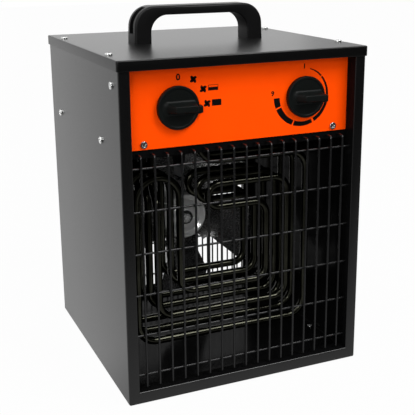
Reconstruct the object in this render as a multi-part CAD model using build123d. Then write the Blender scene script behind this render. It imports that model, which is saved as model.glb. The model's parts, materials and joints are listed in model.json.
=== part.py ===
"""A 5 kW class box fan heater: folded sheet casing, wire grilles, tubular elements and an axial fan.

Millimetres. +Z is up, the front grille faces -Y, and the origin is on the floor under the
centre of the casing.
"""
from build123d import *
import os
from math import cos, radians, sin, tan

# ------------------------------------------------------------------ casing
body_width = 260.0          # across the side panels
body_depth = 260.0          # front flange to rear flange
body_height = 340.2         # floor to the casing's top edge, under the lid
sheet = 1.2                 # thickness of every folded sheet
fold_radius = 2.0           # outside radius of a fold
fold_trim = 0.99            # floor folds end just inside the upright folds
flange_width = 11.5         # upright flanges beside each opening
bottom_flange = 12.8        # height of the flange under each opening
front_return = 15.0         # how far the front flange turns back into the casing
ledge_width = 12.0          # inward ledge that carries the lid
ledge_clear = 3.0           # ledge ends short of the panels by this much

lid_lip = 10.2              # height of the lid's folded rim, its sheet included
lid_gap = 0.3               # between the lid's rim and the casing
lid_fold = 1.6              # outside radius of the lid's fold

# ------------------------------------------------------------------ control box
# A "drop" is measured down from the casing's top edge, an "inset" inwards from the side it names.
panel_drop = 85.7           # lower edge of the orange panel
panel_flange = 15.0         # the panel's side flanges run this far back
panel_top_flange = 12.0
panel_head_room = 1.2       # under the lid
shelf_drop = 94.2           # underside of the sheet between fan duct and control box
shelf_flange = 19.0         # height of the shelf's upturned edges
rear_panel_room = 16.8      # rear panel's lower edge above the rear guard's highest level wire

# ------------------------------------------------------------------ fasteners
small_head = 3.7
small_head_height = 2.2
head_rim = 0.5              # share of a head's height that is its straight rim
head_slope = 50.0           # degrees that its crown leans in
panel_screw_inset = 16.0    # from the front opening's edge
panel_screw_rise = 5.0      # above the panel's lower edge
side_screw_high_inset = 20.0   # from the front edge
side_screw_high_drop = 23.5
side_screw_low_drop = 82.6
side_screw_front_inset = 60.7
side_screw_back_inset = 40.0   # from the rear edge
lid_screw_inset = 4.3       # from the casing's inside
lid_screw_front_inset = 44.0
lid_screw_back_inset = 49.0
rear_screw_high_drop = 15.2
rear_screw_low_drop = 78.2

# ------------------------------------------------------------------ facets and fits
bar_sides = 6               # flats round tubes, wires and small screws
bend_steps = 3              # straight steps in each quarter bend of a tube
joined = 0.01               # points of a route nearer than this are one point
fit_play = 0.05             # radial play of fixed pieces in their holes

# ------------------------------------------------------------------ wire guards
wire_radius = 1.1
front_wire_count = 17
front_wire_side = 9.5       # outermost wires stand this far inside the opening
front_wire_inset = 5.0      # upright wires stand this far behind the front face
front_wire_foot = 2.7       # from the return's top to the wires' lower ends
wire_tip_height = 4.5       # wire tips meet the shelf this far above its lower edge
cross_wire_low = 27.6
cross_wire_room = 7.4       # from the highest level wire to the shelf
cross_wire_count = 6
rear_wire_radius = 1.0
rear_wire_count = 33
rear_wire_side = 13.6       # outermost rear wires stand this far inside the casing
rear_wire_overlap = 5.0     # rear upright wires reach this far up in front of the rear panel
rear_cross_count = 4        # level wires of the rear guard

# ------------------------------------------------------------------ knobs and controls
knob_inset = 50.0           # knob axes, from the front opening's edges
knob_drop = 47.7
knob_radius = 21.0
knob_skirt = 5.5            # height of the knob's disc
knob_gap = 0.5              # between disc and panel
knob_recess = 7.0           # radius of the recess over the bush
grip_height = 10.5          # above the disc
grip_length = 38.0
grip_width = 10.0
grip_corner = 3.0           # cut corners of the grip
grip_slope = 10.8           # degrees that its sides lean in
nose_reach = 24.6           # from the axis to the pointer's tip
nose_width = 8.0
nose_crest = 1.0            # the nose's upper edge above the axis, and its rise over the disc
nose_cut = 3.0              # cut of its lower corner
spindle_radius = 3.0
spindle_play = 0.05
spindle_reach = 7.4         # spindle's reach into the grip, beyond the disc
spindle_end_play = 0.2
bush_radius = 5.0
bush_stand = 2.0            # bush stands this far in front of the panel
switch_size = 42.0
switch_depth = 28.0
thermostat_width = 38.0
thermostat_height = 34.0
thermostat_depth = 30.0
control_corner = 3.0        # cut corners of both controls

# ------------------------------------------------------------------ heating elements
tube_radius = 4.0
element_count = 3
element_pitch = 28.0
element_setback = 45.0      # front element's plane behind the orange panel
loop_raise = 6.2            # loops and fan sit this far above the duct's middle
loop_side_room = 30.8       # outer loop to the casing's sides
loop_head_room = 21.0       # outer loop to the shelf
middle_loop_in = [23.0, 26.0]  # middle loop inside the outer one, across and in height
inner_loop_in = [48.0, 51.0]   # inner loop inside the outer one
loop_radii = [20.0, 16.0, 14.0]
arch_room = 33.0            # under the shelf, where the outer left leg turns over to the inner one
feed_x = -28.0              # first leg goes up through the shelf here
turn_x = -18.0              # inner loop turns back to the middle loop here
leg_jog = 14.0              # the second leg passes behind the arch by this much
leg_jog_low_room = 62.0     # the jog starts this far under the shelf
leg_jog_high_room = 44.0    # and ends this far under it
tube_end = 14.0             # tube ends above the shelf's top
tube_hole_play = 0.3
ferrule_radius = 6.5
ferrule_height = 8.0
bead_radius = 3.2
bead_height = 6.0
pin_radius = 1.5
pin_height = 12.0
link_width = 8.0
link_thickness = 1.5
link_drop = 3.0             # star link lies this far under the pins' tops

# ------------------------------------------------------------------ fan and motor
fan_radius = 98.0
fan_blades = 5
blade_arc = 50.0            # degrees of the circle that one blade covers
blade_phase = 35.0          # first blade's centre, clockwise from the top
blade_sheet = 1.2
blade_pitch = -26.0         # degrees; the edge on the clockwise side leads
blade_rise = 6.0            # camber over the blade's whole width
hub_radius = 27.0
hub_depth = 15.0            # from the hub's front to the blades' middle
hub_sheet = 1.6
hub_step = 2.0              # height and width of the hub's pressed steps
hub_boss_radius = 7.0
hub_setback = 4.5           # hub's front behind the shaft's end
shaft_radius = 4.0
shaft_reach = 42.0          # shaft stands this far out of the motor
shaft_in_motor = 18.0
nut_radius = 6.5
nut_height = 3.0
washer_radius = 8.5
washer_height = 1.2
motor_radius = 36.0
motor_length = 47.1
motor_nose_radius = 12.0
motor_nose = 3.0
motor_plate_size = 84.0
motor_plate_corner = 10.0
motor_plate_sheet = 1.5
motor_screw_inset = 8.0     # from the plate's edges
motor_screw_head = 2.6
motor_screw_head_height = 1.8

# ------------------------------------------------------------------ handle
handle_half = 73.5
handle_depth = 25.0
handle_rise = 38.3
handle_bar = 9.4
handle_leg = 18.5
handle_outer_radius = 22.0
handle_inner_radius = 18.0
handle_soft = 2.4           # bevel of its long edges
handle_sharp = 0.5          # edges lower than this stay sharp
handle_foot_flare = 1.5
pocket_width = 11.0
pocket_floor = 10.0         # pocket's floor above the lid
pocket_clear = 1.0          # between a screw's head and its pocket
handle_screw_inset = 9.5    # from the handle's ends
handle_shank = 2.5
handle_head = 4.5
handle_head_height = 3.0
handle_nut_radius = 4.6
handle_nut_height = 4.0
handle_screw_spare = 1.0    # shank beyond the nut

# ------------------------------------------------------------------ rear fittings
gland_inset = 36.8          # from the casing's inside
gland_drop = 50.2
gland_bore = 6.2
gland_thread = 9.0
gland_flange = 12.5
gland_base = 8.0            # straight part of the gland's cap
gland_slope = 30.0          # degrees that the rest of the cap leans in
gland_stand = 16.0          # beyond the rear panel
gland_inside = 12.0
gland_nut_radius = 12.0
gland_nut_height = 5.0
cutout_inset = 66.8         # from the casing's other inside
cutout_drop = 50.2
cutout_radius = 10.0
cutout_depth = 16.0
cutout_bush = 5.5
cutout_stand = 3.0
cutout_well = 12.0          # the button's bore reaches this far behind the panel
button_radius = 3.0
button_play = 0.06
button_stand = 3.5          # beyond its bush
button_length = 14.0
block_width = 62.0
block_depth = 20.0
block_height = 22.0
block_inset = 78.8          # block's middle, from the casing's inside
block_setback = 43.6        # and ahead of the rear panel
block_ways = 5
block_hole = 2.2
block_well = 11.0           # depth of its screw wells
block_hole_ahead = 4.0      # screw wells lie ahead of the block's middle
block_lead_behind = 5.0     # leads leave behind it

# ------------------------------------------------------------------ wiring
lead_radius = 1.6
lead_spacing = 10.5
lead_rise = 6.8             # lowest lead's run above the pins
lead_rise_step = 10.0
lead_low_bend = 3.0
lead_bend = 4.0
feed_lead_drop = 18.2
feed_lead_bend = 6.0
capillary_radius = 1.0
capillary_straight = 40.0   # level run behind the thermostat
capillary_side_run = 62.0   # it reaches the right side this far ahead of the bulb
capillary_high_drop = 52.2
capillary_low_drop = 68.2
capillary_bends = [15.0, 20.0, 12.0]
capillary_play = 0.3
bulb_radius = 3.2
bulb_length = 70.0
bulb_room = 28.0            # bulb's top under the shelf
bulb_inset = 24.8           # from the casing's inside
bulb_setback = 15.6         # ahead of the rear panel
grommet_radius = 5.0
grommet_lip = 1.5

# ------------------------------------------------------------------ worked out from the above
over = 1.0                  # how far a cutter passes a face
half_width = body_width / 2
half_depth = body_depth / 2
inner_half = half_width - sheet
open_half = half_width - flange_width
panel_face = -half_depth + front_return
panel_back = panel_face + sheet
panel_bottom = body_height - panel_drop
panel_top = body_height - panel_head_room
shelf_bottom = body_height - shelf_drop
shelf_top = shelf_bottom + sheet
rear_inside = half_depth - sheet
rear_panel_face = rear_inside - sheet
lid_top = body_height + sheet
lid_half_width = half_width + lid_gap + sheet
lid_half_depth = half_depth + lid_gap + sheet
knob_x = open_half - knob_inset
knob_z = body_height - knob_drop
handle_screw_x = handle_half - handle_screw_inset

front_wire_pitch = 2 * (open_half - front_wire_side) / (front_wire_count - 1)
rear_wire_pitch = 2 * (inner_half - rear_wire_side) / (rear_wire_count - 1)
grille_back = rear_inside - 2 * wire_radius - rear_wire_radius
cross_wire_pitch = (shelf_bottom - cross_wire_room - cross_wire_low) / (cross_wire_count - 1)
cross_wires = [cross_wire_low + cross_wire_pitch * i for i in range(cross_wire_count)]
rear_cross_wires = cross_wires[:rear_cross_count]
rear_panel_low = rear_cross_wires[-1] + rear_panel_room

loop_centre = (sheet + shelf_bottom) / 2 + loop_raise
outer_half_width = inner_half - loop_side_room
outer_half_height = shelf_bottom - loop_head_room - loop_centre
loop_half_widths = [outer_half_width - inwards for inwards in (0, middle_loop_in[0], inner_loop_in[0])]
loop_half_heights = [outer_half_height - inwards for inwards in (0, middle_loop_in[1], inner_loop_in[1])]
element_planes = [panel_face + element_setback + element_pitch * i for i in range(element_count)]
tube_top = shelf_top + tube_end
pin_top = tube_top + bead_height + pin_height

motor_back = grille_back - rear_wire_radius - motor_plate_sheet
motor_front = motor_back - motor_length
fan_front = motor_front - shaft_reach
fan_plane = fan_front + hub_setback

gland_x = gland_inset - inner_half
gland_z = body_height - gland_drop
cutout_x = inner_half - cutout_inset
cutout_z = body_height - cutout_drop
block_x = block_inset - inner_half
block_y = rear_panel_face - block_setback
bulb_x = inner_half - bulb_inset
bulb_y = rear_panel_face - bulb_setback
bulb_top = shelf_bottom - bulb_room


def block(x0, x1, y0, y1, z0, z1):
    """A box between two corners."""
    return Pos((x0 + x1) / 2, (y0 + y1) / 2, (z0 + z1) / 2) * Box(x1 - x0, y1 - y0, z1 - z0)


def rod_y(radius, y0, y1, x, z):
    """A round bar along Y."""
    return Pos(x, (y0 + y1) / 2, z) * Rot(-90, 0, 0) * Cylinder(radius, y1 - y0)


def turned(points, x, z):
    """A piece turned about a line along Y: points are (radius, y)."""
    outline = make_face(Polyline(*points, close=True))
    return Pos(x, 0, z) * revolve(outline, Axis.Y, 360)


def flats(radius):
    """A polygon round a circle of this radius, with flats towards +Y and -Y."""
    return RegularPolygon(radius, bar_sides, major_radius=False)


def prism(radius, length):
    """A six-sided bar standing on the XY plane."""
    return extrude(flats(radius), length)


def bar_x(radius, x0, x1, y, z):
    """A thin bar along X."""
    return Pos(x0, y, z) * Rot(0, 90, 0) * prism(radius, x1 - x0)


def bar_y(radius, y0, y1, x, z):
    """A thin bar along Y."""
    return Pos(x, y0, z) * Rot(-90, 0, 0) * prism(radius, y1 - y0)


def bar_z(radius, z0, z1, x, y):
    """A thin bar along Z."""
    return Pos(x, y, z0) * prism(radius, z1 - z0)


def hex_nut(radius, bore, height):
    """A nut standing on the XY plane, radius to its flats."""
    return prism(radius, height) - Pos(0, 0, -over) * prism(bore, height + 2 * over)


def bent_route(points, radii):
    """A route's corners, each replaced by the short chords of its bend."""
    route = [Vector(*points[0])]
    for before, corner, after, radius in zip(points, points[1:], points[2:], radii):
        here = Vector(*corner)
        back = (Vector(*before) - here).normalized()
        ahead = (Vector(*after) - here).normalized()
        turn = radians(180 - back.get_angle(ahead))
        reach = radius * tan(turn / 2)
        centre = here + (back + ahead).normalized() * (radius / cos(turn / 2))
        start = here + back * reach - centre
        side = (here + ahead * reach - centre - start * cos(turn)) * (1 / sin(turn))
        steps = max(1, round(bend_steps * turn / radians(90)))
        for i in range(steps + 1):
            angle = turn * i / steps
            place = centre + start * cos(angle) + side * sin(angle)
            if (place - route[-1]).length > joined:
                route.append(place)
    return route + [Vector(*points[-1])]


def tube(points, radii, radius):
    """A tube along straight runs and bends, with mitred steps round each bend."""
    route = Polyline(*bent_route(points, radii))
    section = Plane(origin=route @ 0, x_dir=(1, 0, 0), z_dir=route % 0) * flats(radius)
    return sweep(section, route, transition=Transition.RIGHT)


def screw_head(radius, height):
    """A screw head on the XY plane, a short rim under a crown that leans in."""
    rim = height * head_rim
    return prism(radius, rim) + Pos(0, 0, rim) * extrude(flats(radius), height - rim, taper=head_slope)


def small_head_on(place):
    """The casing's screw head, placed by a location that looks out of the sheet."""
    return place * screw_head(small_head, small_head_height)


# ------------------------------------------------------------------ casing pieces
def tub(half_x, half_y, floor, top, radius):
    """A block whose upright edges and floor edges are rounded as folds."""
    solid = Pos(0, 0, floor) * extrude(RectangleRounded(2 * half_x, 2 * half_y, radius), top - floor)
    return fillet(solid.edges().group_by(Axis.Z)[0], radius * fold_trim)


def casing_wrap():
    """One folded sheet: two sides and the floor, flanged round both openings."""
    shell = tub(half_width, half_depth, 0, body_height, fold_radius)
    shell -= block(-inner_half, inner_half, -rear_inside, rear_inside, sheet, body_height + over)
    reach = half_depth + over
    shell -= block(-open_half, open_half, -reach, reach, bottom_flange, body_height + over)
    front, back = -half_depth, panel_face
    low = bottom_flange - sheet
    shell += block(-open_half - sheet, open_half + sheet, front, back, low, bottom_flange)
    for side in (-1, 1):
        edges = sorted((side * open_half, side * (open_half + sheet)))
        shell += block(*edges, front, back, low, body_height)
        ledge = sorted((side * inner_half, side * (inner_half - ledge_width)))
        start = panel_face + panel_flange + ledge_clear
        shell += block(*ledge, start, rear_panel_face - ledge_clear, body_height - sheet, body_height)
    return shell


def lid():
    """The top cover with its rim folded down on all four sides."""
    low = lid_top - lid_lip
    outer = block(-lid_half_width, lid_half_width, -lid_half_depth, lid_half_depth, low, lid_top)
    outer = fillet(outer.edges().group_by(Axis.Z)[-1], lid_fold)
    inner_x, inner_y = half_width + lid_gap, half_depth + lid_gap
    cover = outer - block(-inner_x, inner_x, -inner_y, inner_y, low - over, body_height)
    for x in (-handle_screw_x, handle_screw_x):
        cover -= bar_z(handle_shank + fit_play, body_height - over, lid_top + over, x, 0)
    return cover


def control_panel():
    """The coloured panel that carries the two knobs, with flanges folded back."""
    top = panel_top
    plate = block(-inner_half, inner_half, panel_face, panel_back, panel_bottom, top)
    for side in (-1, 1):
        edges = sorted((side * inner_half, side * (inner_half - sheet)))
        plate += block(*edges, panel_face, panel_face + panel_flange, panel_bottom, top)
    plate += block(-inner_half, inner_half, panel_face, panel_face + panel_top_flange, top - sheet, top)
    for side in (-1, 1):
        plate -= bar_y(bush_radius + fit_play, panel_face - over, panel_back + over, side * knob_x, knob_z)
    return plate


def leg_places():
    """Where each element's two legs pass the shelf."""
    places = []
    for y in element_planes:
        places.append((feed_x, y))
        places.append((-loop_half_widths[1], y + leg_jog))
    return places


def divider_shelf():
    """The sheet between the fan duct and the control box, with upturned edges."""
    rear = rear_panel_face
    top = shelf_bottom + shelf_flange
    plate = block(-inner_half, inner_half, panel_back, rear, shelf_bottom, shelf_top)
    plate += block(-inner_half + sheet, inner_half - sheet, panel_back, panel_back + sheet,
                   shelf_bottom, top)
    for side in (-1, 1):
        edges = sorted((side * inner_half, side * (inner_half - sheet)))
        plate += block(*edges, panel_face + panel_flange + over, rear, shelf_bottom, top)
    for x, y in leg_places():
        plate -= bar_z(tube_radius + tube_hole_play, shelf_bottom - over, shelf_top + over, x, y)
    plate -= bar_z(grommet_radius, shelf_bottom - over, shelf_top + over, bulb_x, bulb_y)
    return plate


def rear_panel():
    """The plain sheet that closes the back of the control box and the duct's top."""
    plate = block(-inner_half, inner_half, rear_panel_face, rear_inside, rear_panel_low, panel_top)
    y0, y1 = rear_panel_face - over, rear_inside + over
    plate -= bar_y(gland_thread + fit_play, y0, y1, gland_x, gland_z)
    plate -= bar_y(cutout_bush + fit_play, y0, y1, cutout_x, cutout_z)
    return plate


# ------------------------------------------------------------------ wire guards
def columns(count, pitch):
    """Evenly spaced places about the middle."""
    return [(i - (count - 1) / 2) * pitch for i in range(count)]


def front_grille():
    """Upright wires with their tips bent back, welded on level wires behind them."""
    y = -half_depth + front_wire_inset
    cross_y = y + 2 * wire_radius
    low = bottom_flange + front_wire_foot
    tip = shelf_bottom + wire_tip_height
    route = Polyline((0, y, low), (0, y, tip), (0, panel_back, tip))
    wire = sweep(Pos(0, y, low) * flats(wire_radius), route, transition=Transition.RIGHT)
    wires = [Pos(x, 0, 0) * wire for x in columns(front_wire_count, front_wire_pitch)]
    wires += [bar_x(wire_radius, -open_half, open_half, cross_y, z) for z in cross_wires]
    return Compound(wires)


def rear_grille():
    """A closer guard behind the fan, its level wires welded to the rear flange."""
    cross_y = rear_inside - wire_radius
    low = sheet + front_wire_foot
    high = rear_panel_low + rear_wire_overlap
    wires = [bar_z(rear_wire_radius, low, high, x, grille_back)
             for x in columns(rear_wire_count, rear_wire_pitch)]
    reach = inner_half - front_wire_foot
    wires += [bar_x(wire_radius, -reach, reach, cross_y, z) for z in rear_cross_wires]
    return Compound(wires)


# ------------------------------------------------------------------ handle
def handle():
    """A moulded bridge handle with a pocket over each screw."""
    foot = handle_half
    top = handle_half - handle_foot_flare
    outer = make_face(Polyline((-foot, 0), (foot, 0), (top, handle_rise), (-top, handle_rise), close=True))
    outer = fillet(outer.vertices().sort_by(Axis.Y)[-2:], handle_outer_radius)
    gap_half = handle_half - handle_leg
    gap_top = handle_rise - handle_bar
    gap = make_face(Polyline((-gap_half, -over), (gap_half, -over), (gap_half, gap_top),
                             (-gap_half, gap_top), close=True))
    gap = fillet(gap.vertices().sort_by(Axis.Y)[-2:], handle_inner_radius)
    bridge = extrude(Plane.XZ * outer, handle_depth / 2, both=True)
    faces = bridge.faces().sort_by(Axis.Y)
    rim = faces[0].outer_wire().edges() + faces[-1].outer_wire().edges()
    soft = [e for e in rim if e.center().Z > handle_sharp]
    bridge = chamfer(soft, handle_soft) - extrude(Plane.XZ * gap, handle_depth, both=True)
    for side in (-1, 1):
        inner = side * (handle_screw_x - handle_head - pocket_clear)
        ends = sorted((inner, side * (handle_half + over)))
        bridge -= block(*ends, -pocket_width / 2, pocket_width / 2, pocket_floor, handle_rise + over)
        bridge -= bar_z(handle_shank + fit_play, -over, pocket_floor + over, side * handle_screw_x, 0)
    return Pos(0, 0, lid_top) * bridge


# ------------------------------------------------------------------ knobs and controls
def knob(side):
    """A disc with a raised grip and a pointer nose that stands out past its edge, towards +X."""
    back = panel_face - knob_gap
    face = back - knob_skirt
    looking_out = Plane(origin=(0, face, 0), x_dir=(1, 0, 0), z_dir=(0, -1, 0))
    x, y = grip_length / 2, grip_width / 2
    cut_x, cut_y = x - grip_corner, y - grip_corner
    outline = Polyline((x, -cut_y), (x, cut_y), (cut_x, y), (-cut_x, y),
                       (-x, cut_y), (-x, -cut_y), (-cut_x, -y), (cut_x, -y), close=True)
    grip = extrude(looking_out * make_face(outline), grip_height, taper=grip_slope)
    low = nose_crest - nose_width
    nose = Polyline((0, nose_crest), (nose_reach - nose_crest, nose_crest), (nose_reach, 0),
                    (nose_reach, low + nose_crest), (nose_reach - nose_cut, low), (0, low), close=True)
    nose = extrude(looking_out.offset(-knob_skirt) * make_face(nose), knob_skirt + nose_crest)
    piece = rod_y(knob_radius, face, back, 0, 0) + grip + nose
    piece -= bar_y(knob_recess, panel_face - bush_stand - over, back + over, 0, 0)
    piece -= rod_y(spindle_radius + spindle_play, spindle_end(), back + over, 0, 0)
    return Pos(side * knob_x, 0, knob_z) * piece


def spindle_end():
    """Front end of each control's spindle, inside the knob."""
    return panel_face - knob_gap - knob_skirt - spindle_reach


def spindle(side, depth):
    """The turning shaft that the knob sits on."""
    start = spindle_end() + spindle_end_play
    return rod_y(spindle_radius, start, panel_back + depth / 2, side * knob_x, knob_z)


def control_body(side, width, height, depth):
    """A control screwed behind the panel, its bush passing through the panel."""
    x = side * knob_x
    body = block(x - width / 2, x + width / 2, panel_back, panel_back + depth,
                 knob_z - height / 2, knob_z + height / 2)
    body = chamfer(body.edges().filter_by(Axis.Y), control_corner)
    body += bar_y(bush_radius, panel_face - bush_stand, panel_back + sheet, x, knob_z)
    body -= rod_y(spindle_radius + spindle_play, panel_face - bush_stand - over,
                  panel_back + depth / 2 + over, x, knob_z)
    return body


# ------------------------------------------------------------------ heating elements
def element_route(y):
    """The bent tube's corners and bend radii, from one leg to the other.

    Outer loop, over an arch to the inner loop, back through a tight turn to the middle loop.
    """
    (ow, mw, iw), (oh, mh, ih) = loop_half_widths, loop_half_heights
    outer_r, middle_r, inner_r = loop_radii
    z = loop_centre
    arch_top = shelf_bottom - arch_room
    turn_r = (mh - ih) / 2
    arch_r = (ow - iw) / 2
    corners = [
        ((feed_x, z + oh), outer_r), ((ow, z + oh), outer_r), ((ow, z - oh), outer_r),
        ((-ow, z - oh), outer_r), ((-ow, arch_top), arch_r), ((-iw, arch_top), arch_r),
        ((-iw, z - ih), inner_r), ((iw, z - ih), inner_r), ((iw, z + ih), inner_r),
        ((turn_x, z + ih), turn_r), ((turn_x, z + mh), turn_r), ((mw, z + mh), middle_r),
        ((mw, z - mh), middle_r), ((-mw, z - mh), middle_r)]
    points = [(feed_x, y, tube_top)] + [(x, y, h) for (x, h), r in corners]
    radii = [r for place, r in corners]
    back = y + leg_jog
    jog_low, jog_high = shelf_bottom - leg_jog_low_room, shelf_bottom - leg_jog_high_room
    points += [(-mw, y, jog_low), (-mw, back, jog_high), (-mw, back, tube_top)]
    radii += [inner_r, inner_r]
    return points, radii


def element(y):
    """One tubular element."""
    points, radii = element_route(y)
    return tube(points, radii, tube_radius)


def on_legs(make):
    """Copies of a piece on each element leg."""
    return Compound([Pos(x, y, 0) * make() for x, y in leg_places()])


def ferrule():
    return Pos(0, 0, shelf_top) * hex_nut(ferrule_radius, tube_radius + fit_play, ferrule_height)


def bead():
    return bar_z(bead_radius, tube_top, tube_top + bead_height, 0, 0)


def pin():
    return bar_z(pin_radius, tube_top + bead_height, pin_top, 0, 0)


def star_link():
    """The strip that joins the second leg of every element."""
    x = -loop_half_widths[1]
    places = [y + leg_jog for y in element_planes]
    z = pin_top - link_drop - link_thickness
    strip = block(x - link_width / 2, x + link_width / 2, places[0] - link_width / 2,
                  places[-1] + link_width / 2, z, z + link_thickness)
    for y in places:
        strip -= bar_z(pin_radius + fit_play, z - over, z + link_thickness + over, x, y)
    return strip


# ------------------------------------------------------------------ fan and motor
def blade():
    """A cambered sheet at one pitch, pointing up from the axis, trimmed to a sector."""
    half_arc = radians(blade_arc / 2)
    half = fan_radius * tan(half_arc) / cos(radians(blade_pitch))
    low, high = -blade_rise / 2, blade_rise / 2
    inner = ThreePointArc((-half, low), (0, high), (half, low))
    outer = ThreePointArc((half, low + blade_sheet), (0, high + blade_sheet), (-half, low + blade_sheet))
    ends = [Line(inner @ 1, outer @ 0), Line(outer @ 1, inner @ 0)]
    strip = extrude(Rot(0, 0, blade_pitch) * make_face([inner, outer] + ends), fan_radius)
    reach = fan_radius / cos(half_arc)
    side = reach * sin(half_arc)
    sector = make_face(Polyline((0, 0), (side, fan_radius), (-side, fan_radius), close=True))
    sector = extrude(Plane.XZ * sector, fan_radius, both=True)
    rim = rod_y(fan_radius, -fan_radius, fan_radius, 0, 0)
    inside = rod_y(hub_radius - hub_sheet, -fan_radius, fan_radius, 0, 0)
    return (strip & sector & rim) - inside


def fan():
    """A pressed hub with cambered blades, cut round at the tips."""
    front, back = fan_plane, fan_plane + hub_depth
    step = hub_step
    wheel = turned([(0, front), (hub_radius - 2 * step, front), (hub_radius, front + 2 * step),
                    (hub_radius, back + 4 * step), (hub_radius - hub_sheet, back + 4 * step),
                    (hub_radius - hub_sheet, front + 3 * step), (0, front + 3 * step)], 0, 0)
    wheel += bar_y(hub_boss_radius, front + step, back + step, 0, 0)
    one = Pos(0, back, 0) * blade()
    for i in range(fan_blades):
        wheel += Rot(0, blade_phase + 360 / fan_blades * i, 0) * one
    wheel -= rod_y(shaft_radius + fit_play, fan_front - over, motor_front, 0, 0)
    return Pos(0, 0, loop_centre) * wheel


def fan_washer():
    front = fan_plane - washer_height
    washer = bar_y(washer_radius, front, fan_plane, 0, loop_centre)
    return washer - bar_y(shaft_radius + fit_play, front - over, fan_plane + over, 0, loop_centre)


def fan_nut():
    front = fan_plane - washer_height - nut_height
    nut = Rot(90, 0, 0) * hex_nut(nut_radius, shaft_radius + fit_play, nut_height)
    return Pos(0, front + nut_height, loop_centre) * nut


def motor_shaft():
    return rod_y(shaft_radius, fan_front, motor_front + shaft_in_motor, 0, loop_centre)


def motor():
    """A closed motor with a bearing nose."""
    nose = motor_front - motor_nose
    body = rod_y(motor_radius, motor_front, motor_back, 0, loop_centre)
    body += bar_y(motor_nose_radius, nose, motor_front, 0, loop_centre)
    end = motor_front + shaft_in_motor + over
    return body - rod_y(shaft_radius + fit_play, nose - over, end, 0, loop_centre)


def motor_plate():
    """The plate on the rear guard that carries the motor."""
    outline = chamfer(Rectangle(motor_plate_size, motor_plate_size).vertices(), motor_plate_corner)
    plate = extrude(Plane.XZ * outline, -motor_plate_sheet)
    return Pos(0, motor_back, loop_centre) * plate


def motor_screws():
    head = Rot(90, 0, 0) * screw_head(motor_screw_head, motor_screw_head_height)
    off = motor_plate_size / 2 - motor_screw_inset
    return Compound([Pos(i * off, motor_back, loop_centre + j * off) * head for i in (-1, 1) for j in (-1, 1)])


# ------------------------------------------------------------------ fasteners
def lid_screws():
    x = inner_half - lid_screw_inset
    rows = (-half_depth + lid_screw_front_inset, half_depth - lid_screw_back_inset)
    return Compound([small_head_on(Pos(side * x, y, lid_top)) for side in (-1, 1) for y in rows])


def side_screws():
    low = body_height - side_screw_low_drop
    places = [(-half_depth + side_screw_high_inset, body_height - side_screw_high_drop),
              (-half_depth + side_screw_front_inset, low), (half_depth - side_screw_back_inset, low)]
    return Compound([small_head_on(Pos(side * half_width, y, z) * Rot(0, 90 * side, 0))
                     for side in (-1, 1) for y, z in places])


def panel_screws():
    x, z = open_half - panel_screw_inset, panel_bottom + panel_screw_rise
    return Compound([small_head_on(Pos(side * x, panel_face, z) * Rot(90, 0, 0)) for side in (-1, 1)])


def rear_screws():
    x = half_width - flange_width / 2
    rows = (body_height - rear_screw_low_drop, body_height - rear_screw_high_drop)
    return Compound([small_head_on(Pos(side * x, half_depth, z) * Rot(-90, 0, 0))
                     for side in (-1, 1) for z in rows])


def handle_screws():
    """Long screws that clamp the handle on the lid."""
    low = body_height - handle_nut_height - handle_screw_spare
    floor = lid_top + pocket_floor
    one = bar_z(handle_shank, low, floor, 0, 0)
    one += Pos(0, 0, floor) * screw_head(handle_head, handle_head_height)
    return Compound([Pos(x, 0, 0) * one for x in (-handle_screw_x, handle_screw_x)])


def handle_nuts():
    one = Pos(0, 0, body_height - handle_nut_height) * hex_nut(
        handle_nut_radius, handle_shank + fit_play, handle_nut_height)
    return Compound([Pos(x, 0, 0) * one for x in (-handle_screw_x, handle_screw_x)])


# ------------------------------------------------------------------ rear fittings
def cable_gland():
    """The cord inlet: a six-sided cap that leans in to its mouth, on a thread through the panel."""
    start, end = rear_panel_face - gland_inside, rear_inside + gland_stand
    shoulder = rear_inside + gland_base
    body = bar_y(gland_thread, start, rear_inside, gland_x, gland_z)
    body += bar_y(gland_flange, rear_inside, shoulder, gland_x, gland_z)
    crown = extrude(flats(gland_flange), end - shoulder, taper=gland_slope)
    body += Pos(gland_x, shoulder, gland_z) * Rot(-90, 0, 0) * crown
    return body - rod_y(gland_bore, start - over, end + over, gland_x, gland_z)


def gland_nut():
    nut = Rot(90, 0, 0) * hex_nut(gland_nut_radius, gland_thread + fit_play, gland_nut_height)
    return Pos(gland_x, rear_panel_face, gland_z) * nut


def thermal_cutout():
    """The overheat cut-out, its bush standing through the rear panel."""
    end = rear_inside + cutout_stand
    body = bar_y(cutout_radius, rear_panel_face - cutout_depth, rear_panel_face, cutout_x, cutout_z)
    body += bar_y(cutout_bush, rear_panel_face - over, end, cutout_x, cutout_z)
    bore = button_radius + button_play
    return body - rod_y(bore, rear_panel_face - cutout_well, end + over, cutout_x, cutout_z)


def reset_button():
    end = rear_inside + cutout_stand + button_stand
    return rod_y(button_radius, end - button_length, end, cutout_x, cutout_z)


def terminal_block():
    """A block with a row of screw wells, standing on the shelf."""
    body = block(block_x - block_width / 2, block_x + block_width / 2, block_y - block_depth / 2,
                 block_y + block_depth / 2, shelf_top, shelf_top + block_height)
    top = shelf_top + block_height
    for x in columns(block_ways, block_width / block_ways):
        body -= bar_z(block_hole, top - block_well, top + over, block_x + x, block_y - block_hole_ahead)
    return body


# ------------------------------------------------------------------ wiring
def element_leads():
    """Leads from the elements' feed pins to the back of the switch."""
    switch_back = panel_back + switch_depth
    pieces = []
    for i, (y, x) in enumerate(zip(element_planes, lead_columns())):
        height = pin_top + lead_rise + lead_rise_step * i
        points = [(feed_x, y, pin_top), (feed_x, y, height), (x, y, height), (x, switch_back, height)]
        pieces.append(tube(points, [lead_low_bend, lead_bend], lead_radius))
    return Compound(pieces)


def lead_columns():
    """The switch's rear terminals, from the middle of the heater outwards."""
    return [-knob_x + lead_spacing * (1 - i) for i in range(element_count)]


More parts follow.
